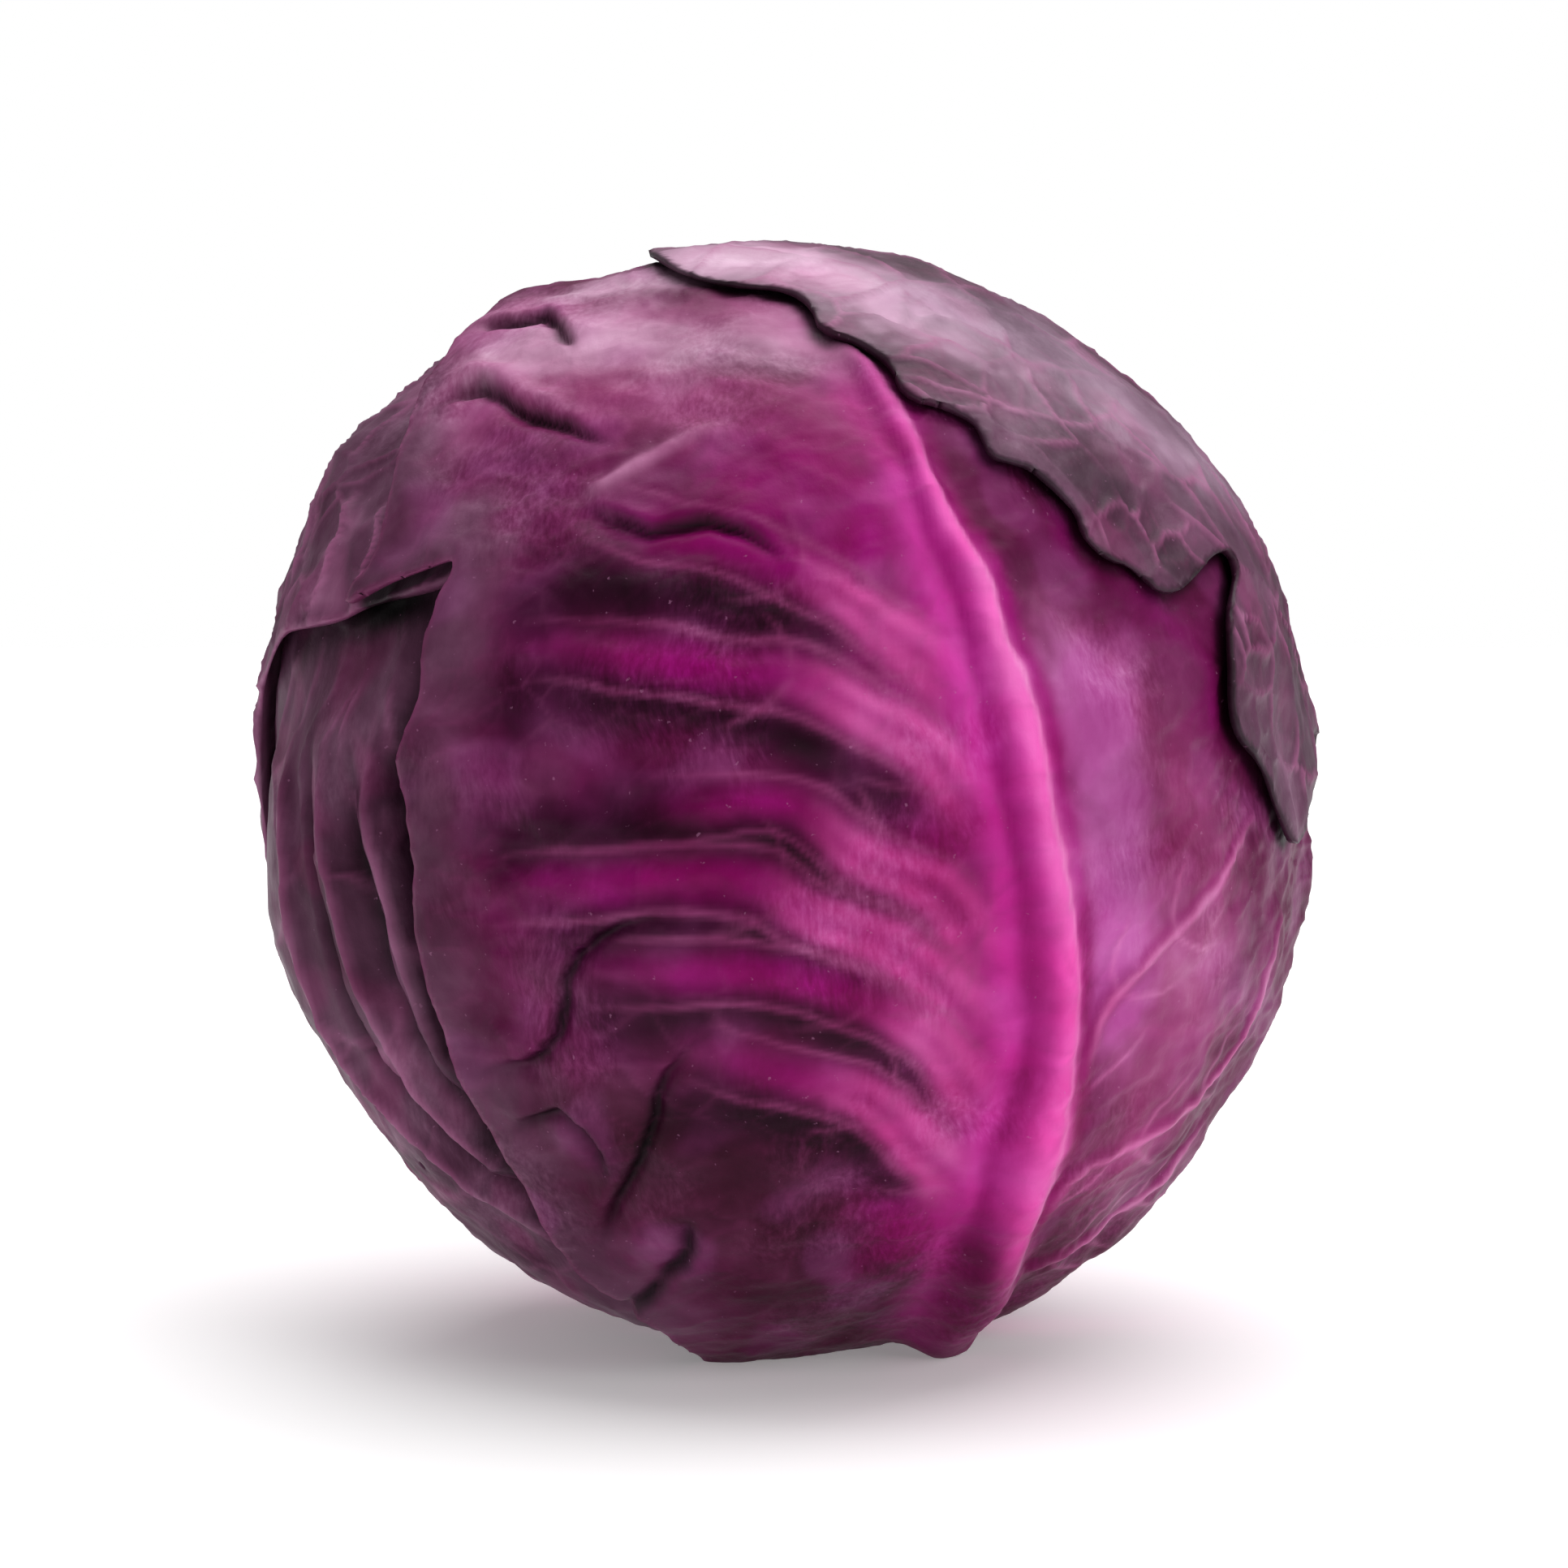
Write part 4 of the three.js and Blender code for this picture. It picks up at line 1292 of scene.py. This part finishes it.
def left_leaf() -> WrapperLeaf:
    """The leaf under the front leaf's left edge, crumpled beside it."""
    a = BALL.aimed
    outline = a([
        [-15, -81], [-2, -66], [-10, -40], [-16, -5], [-24, 28], [-50, 48], [-92, 56], [-130, 46], [-158, 20],
        [-166, -12], [-160, -45], [-148, -68], [-130, -81],
    ])
    colours = BackLeafColours(PLUM, MAROON, DUSTY, PINK)
    marks, washes = veined(
        a([[-110, -80], [-112, -55], [-112, -25], [-110, 5], [-106, 32]]), (2.2, 0.4), 4, 44, colours
    )
    ridges, valleys = (
        [drawn((x - 71, 88), (x - 70, 64), (x - 63, 42), (x - 48, 24), (x - 30, 10)) for x in insets]
        for insets in ((0, 6, 12), (3, 9, 15))
    )
    gap = beside(BALL.drawn(list(FREE_EDGE_LOW)), (-4.0, -3.2))
    marks += [*ridged(ridges, 2.0, 2.0), *creased(valleys, 2.0, 1.3), *creased([gap], 3.0, 2.6)]
    grounds = [stroke(MAUVE, (14, 12), 0.9, (-66, 92), (-64, 56), (-44, 22))]
    dapples = [Dapple(MAROON, Ripple(116, 14), 0.5), Dapple(DUSTY, Ripple(117, 34), 0.25)]
    # painted highlight on the ridge tops; painted shade in the valleys and in the gap under the front leaf's
    # edge
    washes += [*painted(ridges, DUSTY_PINK, 1.0, 0.6), *painted(valleys, CREASE_SHADE, 1.1, 0.88)]
    washes.append(Wash(CREASE_SHADE, gap, (3.4, 2.8), 0.95))
    crumples = [
        Crumple(0.8, Ripple(111, 16, (1, 1, 0.5))),
        Crumple(0.35, Ripple(112, 30, (1, 1, 0.45)), sharp=True),
        Crumple(0.08, Ripple(113, 80)),
    ]
    nets = [Net(Cells(114, 14.0, (1, 1, 0.6)), 0.18, 0.6, DUSTY_PINK, 0.3, 0.3)]
    return WrapperLeaf(
        name="left_wrapper_leaf", node="leaf_left", slot="wrapper_leaf_left", heart_point=(-92, -14),
        blade_middle=(-90, -8), shade_width=3.6, outline=outline, lift=0.6, edge_depth=1.6,
        base_tint=MAUVE, grain=0.85, marks=marks, grounds=grounds, dapples=dapples,
        washes=washes, crumples=crumples, nets=nets, edge_tint=DUSTY_PINK, edge_width=0.6,
        edge_strength=0.5,
    )


def right_leaf() -> WrapperLeaf:
    """The leaf under the front leaf's right edge."""
    a = BALL.aimed
    outline = a([
        [25, -81], [22, -62], [24, -30], [30, 4], [48, 34], [84, 50], [122, 46], [150, 20], [158, -14],
        [152, -46], [146, -66], [140, -81],
    ])
    colours = BackLeafColours(PLUM, MAROON, PINK, ROSE)
    marks, washes = veined(
        a([[92, -80], [96, -55], [98, -25], [96, 5], [94, 28]]), (2.6, 0.5), 4, 58, colours
    )
    crumples = [
        Crumple(0.45, Ripple(121, 22, (1, 1, 0.8))),
        Crumple(0.25, Ripple(122, 50), sharp=True),
        Crumple(0.1, Ripple(123, 110)),
    ]
    nets = [Net(Cells(124, 9.0), 0.25, 0.55, DUSTY, 0.35, 0.3)]
    return WrapperLeaf(
        name="right_wrapper_leaf", node="leaf_right", slot="wrapper_leaf_right", heart_point=(90, -14),
        blade_middle=(92, -8), outline=outline, lift=0.6, edge_depth=1.6, base_tint=PLUM, grain=0.95,
        marks=marks, washes=washes, crumples=crumples, nets=nets, edge_tint=PALE_ROSE, edge_width=0.5,
        edge_strength=0.4,
    )


def back_leaf() -> WrapperLeaf:
    """The leaf that closes the head behind."""
    a = BALL.aimed
    outline = a([
        [-130, -81], [-126, -62], [-122, -32], [-124, 2], [-134, 34], [-166, 58], [164, 56], [140, 32],
        [132, 0],
        [134, -34], [138, -62], [145, -81],
    ])
    colours = BackLeafColours(PLUM, MAROON, DUSTY, PINK)
    marks, washes = veined(
        a([[-170, -80], [-172, -55], [-174, -25], [-175, 5], [-176, 35]]), (2.8, 0.5), 4, 56, colours
    )
    crumples = [
        Crumple(0.45, Ripple(131, 22, (1, 1, 0.8))),
        Crumple(0.3, Ripple(132, 50), sharp=True),
        Crumple(0.1, Ripple(133, 110)),
    ]
    nets = [Net(Cells(134, 9.0), 0.25, 0.55, DUSTY, 0.4, 0.3)]
    return WrapperLeaf(
        name="back_wrapper_leaf", node="leaf_back", slot="wrapper_leaf_back", heart_point=(180, -10),
        blade_middle=(-176, -8), outline=outline, lift=0.8, edge_depth=1.8, base_tint=PLUM, grain=0.95,
        marks=marks, washes=washes, crumples=crumples, nets=nets, edge_tint=PALE_ROSE, edge_width=0.5,
        edge_strength=0.4,
    )


def upper_left_leaf() -> WrapperLeaf:
    """The leaf at the upper left that laps over the left one with a curled edge."""
    a = BALL.aimed
    outline = np.vstack([
        a([[-158, -81], [-153, -66], [-157, -40], [-162, -10], [-158, 18], [-164, 44], [176, 62], [110, 74]]),
        drawn((-6, 147), (-22, 134), (-38, 118), (-50, 108), (-62, 103), (-67, 100), (-71, 97)),
        a([[-92, 8], [-97, -10], [-101, -32], [-104, -54], [-108, -70], [-112, -81]]),
    ])
    colours = BackLeafColours(MAUVE, PLUM, DUSTY, PINK)
    marks, washes = veined(
        a([[-138, -80], [-134, -55], [-130, -25], [-126, 5], [-118, 38], [-95, 62]]),
        (2.8, 0.5), 5, 58, colours,
    )
    pleats = [drawn((x - 65, 120), (x - 68, 110), (x - 71, 101)) for x in (0, 4, 8)]
    marks += ridged(pleats, 1.0, 1.2)
    dapples = [Dapple(MAROON, Ripple(146, 18), 0.5), Dapple(DUSTY_PINK, Ripple(147, 34), 0.3)]
    washes += painted(pleats, DUSTY_PINK, 0.7, 0.7)
    crumples = [
        Crumple(0.5, Ripple(141, 22)),
        Crumple(0.3, Ripple(142, 48), sharp=True),
        Crumple(0.1, Ripple(143, 110)),
    ]
    nets = [Net(Cells(144, 9.0), 0.3, 0.55, DUSTY_PINK, 0.4, 0.3)]
    return WrapperLeaf(
        name="upper_left_wrapper_leaf", node="leaf_upper_left", slot="wrapper_leaf_upper_left",
        heart_point=(-125, 22), blade_middle=(-125, 8), shade_width=1.6, outline=outline, lift=1.4,
        edge_depth=1.2,
        base_tint=MAUVE, grain=0.9, marks=marks, dapples=dapples, washes=washes, crumples=crumples, nets=nets,
        edge_tint=DUSTY_PINK, edge_width=0.5, edge_strength=0.4,
    )


def top_leaf() -> WrapperLeaf:
    """The outermost leaf, over the crown and the right side, with a scalloped edge."""
    a = BALL.aimed
    outline = np.vstack([
        drawn(
            (-19, 152), (-15, 150), (-8, 148.5), (0, 148), (4, 146), (6, 143), (11, 141), (15, 137.5),
            (17, 133),
            (22, 131.5), (27, 129), (29, 124.5), (34, 123), (38, 120), (41.5, 117), (43, 114), (46.5, 111),
            (50.5, 109.5), (52.5, 107), (55, 105.5), (57.5, 107), (60, 110), (62, 110.5), (63, 108),
            (62.5, 101.5), (63, 94), (63.5, 88), (65, 84.5), (67, 82.5), (68.5, 80), (70, 75), (72, 70),
            (74, 77),
        ),
        a([
            [92, 6], [100, -8], [104, -24], [108, -42], [112, -60], [116, -72], [120, -81], [176, -81],
            [172, -62], [173, -40], [175, -16], [172, 8], [178, 30], [-172, 48], [-160, 64],
        ]),
    ])
    colours = BackLeafColours(MAUVE, PLUM, DUSTY, PINK)
    marks, washes = veined(
        a([[150, -80], [146, -55], [142, -25], [140, 5], [138, 35], [130, 62]]), (3.0, 0.5), 5, 62, colours
    )
    grounds = [
        # the crown is painted pale: partly the waxy bloom, partly a painted highlight from the light above
        stroke(BLOOM_AND_HIGHLIGHT_LILAC, (12, 10), 0.75, (-8, 152), (8, 151), (22, 144)),
        stroke(ASH, (14, 12), 0.85, (26, 146), (42, 138), (56, 126)),
    ]
    dapples = [Dapple(MAROON, Ripple(156, 16), 0.55), Dapple(DUSTY, Ripple(157, 30), 0.2)]
    crumples = [
        Crumple(0.3, Ripple(151, 26)),
        Crumple(0.12, Ripple(152, 60), sharp=True),
        Crumple(0.05, Ripple(153, 130)),
    ]
    nets = [
        Net(Cells(154, 11.5, (1, 1, 0.8)), 0.3, 0.45, DUSTY_PINK, 0.6, 0.7),
        Net(Cells(155, 5.5), 0.08, 0.3, DUSTY, 0.15, 0.3),
    ]
    return WrapperLeaf(
        name="top_wrapper_leaf", node="leaf_top", slot="wrapper_leaf_top", heart_point=(120, 40),
        blade_middle=(130, 22), outline=outline, lift=0.5, edge_depth=0.6, base_tint=MAUVE, grain=0.85,
        marks=marks, grounds=grounds, dapples=dapples, washes=washes, crumples=crumples, nets=nets,
        # the dark band along its edge is partly painted shadow under its lifted margin, partly its dark dried
        # edge
        edge_tint=BLACKISH, edge_width=0.5,
        edge_strength=0.85,
    )


LEAF_FINISHES = {
    "wrapper_leaf_left": LeafFinish("left_leaf_skin", 0.0, 0.4, 1.1),
    "wrapper_leaf_right": LeafFinish("right_leaf_skin", 0.0, 0.4, 1.1),
    "wrapper_leaf_back": LeafFinish("back_leaf_skin", 0.0, 0.4, 1.1),
    "wrapper_leaf_upper_left": LeafFinish("upper_left_leaf_skin", 0.02, 0.4, 1.1),
    "wrapper_leaf_front": LeafFinish("front_leaf_skin", 0.0, 0.7, 0.9),
    "wrapper_leaf_top": LeafFinish("top_leaf_skin", 0.08, 0.3, 0.8, specular=0.2),
}
INNER_FINISH = LeafFinish("inner_leaf_skin", 0.1, 0.9, 1.2)


# ----------------------------------------------------------------------------------------------------------
# Heart and stalk


@dataclass
class Heart:
    """The tightly packed inner leaves as one ball under the wrapper leaves."""

    layers: Layers
    subdivisions: int = 5
    sink: float = 0.3

    def build(self) -> bpy.types.Object:
        """Builds the ball on the bed of the lowest leaf."""
        bm = bmesh.new()
        bmesh.ops.create_icosphere(bm, subdivisions=self.subdivisions, radius=1)
        directions = unit(np.array([v.co for v in bm.verts]))
        state = self.layers.at(directions)
        furrows = 0.25 * np.abs(Ripple(9, 16).at(directions))
        radii = state.bed - state.pressed[0] - self.sink - furrows
        for vert, point in zip(bm.verts, BALL.place(directions, radii)):
            vert.co = point
        for face in bm.faces:
            face.smooth = True
        return finished("heart_leaves", bm)


@dataclass
class Stalk:
    """The trimmed stump and the core that rises inside the head."""

    radius: float = 14.0
    profile: tuple[tuple[float, float], ...] = ((1, 0), (1, 7), (0.85, 15), (0.62, 32), (0.42, 48), (0.2, 58))
    tip: float = 61.0
    steps: int = 96

    def build(self) -> bpy.types.Object:
        """Turns the profile round and gives the cut face its rings."""
        bm = bmesh.new()
        places = [(share * self.radius, height) for share, height in self.profile]
        face = [(r, 0.25 * (1 - r / self.radius)) for r in np.linspace(0, self.radius, 12)[:-1]]
        outline = [*face, *places, (0, self.tip)]
        verts = [bm.verts.new((r * MM, 0, z * MM)) for r, z in outline]
        edges = [bm.edges.new(pair) for pair in zip(verts, verts[1:])]
        bmesh.ops.spin(
            bm, geom=[*verts, *edges], cent=(0, 0, 0), axis=(0, 0, 1), angle=2 * math.pi, steps=self.steps,
            use_merge=True,
        )
        bmesh.ops.remove_doubles(bm, verts=bm.verts, dist=1e-6)
        bmesh.ops.recalc_face_normals(bm, faces=bm.faces)
        for face_made in bm.faces:
            face_made.smooth = True
        return finished("stalk_stump", bm)


@dataclass(frozen=True)
class PithFinish:
    """The stalk's moist cut face and rind."""

    name: str = "stalk_pith"

    def material(self) -> bpy.types.Material:
        """Makes pale pith with rings and a violet rind."""
        made = bpy.data.materials.new(self.name)
        made.use_nodes = True
        w = Wiring(made.node_tree)
        shader = made.node_tree.nodes["Principled BSDF"]
        place = w.node("ShaderNodeTexCoord").outputs["Object"]
        flat = w.stretched(place, (1, 1, 0))
        length = w.node("ShaderNodeVectorMath", operation="LENGTH")
        w.join(flat, length.inputs[0])
        out = length.outputs["Value"]
        fibre = w.noise(place, 900, 3)
        cloud = w.noise(place, 160, 4)
        ring = w.ramp(w.math("ADD", out, w.math("MULTIPLY", cloud, 0.003)), 0.0085, 0.0155)
        pith = w.mix(w.ramp(cloud, 0.35, 0.7), (0.62, 0.5, 0.52, 1), (0.42, 0.24, 0.33, 1))
        rind = w.mix(ring, pith, (*PLUM, 1))
        spotted = w.mix(w.ramp(fibre, 0.6, 0.75), rind, (0.35, 0.2, 0.25, 1))
        w.join(spotted, shader.inputs["Base Color"])
        shader.inputs["Roughness"].default_value = 0.5
        bump = w.node("ShaderNodeBump")
        bump.inputs["Strength"].default_value = 0.5
        bump.inputs["Distance"].default_value = 0.0005
        w.join(fibre, bump.inputs["Height"])
        w.join(bump.outputs["Normal"], shader.inputs["Normal"])
        return made


# ----------------------------------------------------------------------------------------------------------
# Stage, light and camera


@dataclass(frozen=True)
class Studio:
    """A white table in soft light, and the camera."""

    distance: float = 1.0
    elevation: float = 7.0
    picture: int = 1932
    middle_pixel: tuple[float, float] = (967.0, 975.0)
    pixels_per_mm: float = 8.76
    sensor: float = 36.0
    table_size: float = 1.9
    dimness: float = 0.3
    table_glow: float = 0.2

    def table(self) -> None:
        """Lays the white floor, a light table that glows a little."""
        bm = bmesh.new()
        bmesh.ops.create_grid(bm, x_segments=1, y_segments=1, size=self.table_size / 2)
        floor = finished("table", bm)
        made = bpy.data.materials.new("white_table")
        made.use_nodes = True
        shader = made.node_tree.nodes["Principled BSDF"]
        shader.inputs["Base Color"].default_value = (0.95, 0.95, 0.95, 1)
        shader.inputs["Roughness"].default_value = 0.8
        shader.inputs["Emission Color"].default_value = (1, 1, 1, 1)
        shader.inputs["Emission Strength"].default_value = self.table_glow
        floor.data.materials.append(made)

    def softbox(self, name: str, place: Vector, size: float, power: float) -> None:
        """Hangs a square area light that faces the head."""
        light = bpy.data.lights.new(name, "AREA")
        light.shape = "SQUARE"
        light.size = size
        light.energy = power
        lamp = bpy.data.objects.new(name, light)
        lamp.location = place
        lamp.rotation_euler = (Vector((0, 0, 0.08)) - place).to_track_quat("-Z", "Y").to_euler()
        bpy.context.scene.collection.objects.link(lamp)

    def surroundings(self) -> None:
        """A white backdrop, which lights the head only dimly."""
        world = bpy.data.worlds.new("white_surroundings")
        bpy.context.scene.world = world
        world.use_nodes = True
        w = Wiring(world.node_tree)
        dim = world.node_tree.nodes["Background"]
        dim.inputs["Color"].default_value = (1, 0.97, 0.98, 1)
        dim.inputs["Strength"].default_value = self.dimness
        white = w.node("ShaderNodeBackground")
        white.inputs["Color"].default_value = (1, 1, 1, 1)
        chosen = w.node("ShaderNodeMixShader")
        w.join(w.node("ShaderNodeLightPath").outputs["Is Camera Ray"], chosen.inputs[0])
        w.join(dim.outputs[0], chosen.inputs[1])
        w.join(white.outputs[0], chosen.inputs[2])
        w.join(chosen.outputs[0], world.node_tree.nodes["World Output"].inputs["Surface"])

    def lights(self) -> None:
        """Hangs the softboxes."""
        self.softbox("top_softbox", Vector((0.15, 0.25, 1.35)), 1.9, 27)
        self.softbox("right_softbox", Vector((1.0, -1.1, 0.7)), 0.8, 7)

    def camera(self) -> None:
        """Places the camera so that the head fills the picture as it should."""
        middle = Vector((0, 0, BALL.middle_height * MM))
        rise = math.radians(self.elevation)
        back = Vector((0, -math.cos(rise), math.sin(rise)))
        data = bpy.data.cameras.new("camera")
        camera = bpy.data.objects.new("camera", data)
        camera.location = middle + back * self.distance
        camera.rotation_euler = (-back).to_track_quat("-Z", "Y").to_euler()
        width = self.picture / self.pixels_per_mm * MM
        data.sensor_width = self.sensor
        data.lens = self.sensor * self.distance / width
        data.shift_x = (self.picture / 2 - self.middle_pixel[0]) / self.picture
        data.shift_y = (self.middle_pixel[1] - self.picture / 2) / self.picture
        data.clip_start = 0.01
        bpy.context.scene.collection.objects.link(camera)
        bpy.context.scene.camera = camera

    def build(self) -> None:
        """Sets up everything round the head."""
        self.table()
        self.surroundings()
        self.lights()
        self.camera()
        bpy.context.scene.view_settings.view_transform = "Standard"


# ----------------------------------------------------------------------------------------------------------
# Assembly


def dress(piece: bpy.types.Object, node: str, slot: str, material: bpy.types.Material) -> None:
    """Gives a piece its material, puts it on the root body and hides the imported part that it stands for."""
    piece.data.materials.append(material)
    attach(piece, ROOT_BODY)
    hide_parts(node)
    log.info("%s: %d faces", piece.name, len(piece.data.polygons))


def main() -> None:
    """Builds the head and its surroundings; each piece's face count goes to the log."""
    layers = Layers([left_leaf(), right_leaf(), back_leaf(), upper_left_leaf(), front_leaf(), top_leaf()])
    builder = LeafBuilder(layers)
    skin = skin_group()
    for index, leaf in enumerate(layers.leaves):
        finish = LEAF_FINISHES[leaf.slot]
        dress(builder.build(index), leaf.node, leaf.slot, finish.material(skin))
    dress(Heart(layers).build(), "heart", "inner_leaf", INNER_FINISH.material(skin))
    dress(Stalk().build(), "stalk", "stalk_pith", PithFinish().material())
    Studio().build()


if __name__ == "__main__":
    logging.basicConfig(level=logging.INFO)
    main()
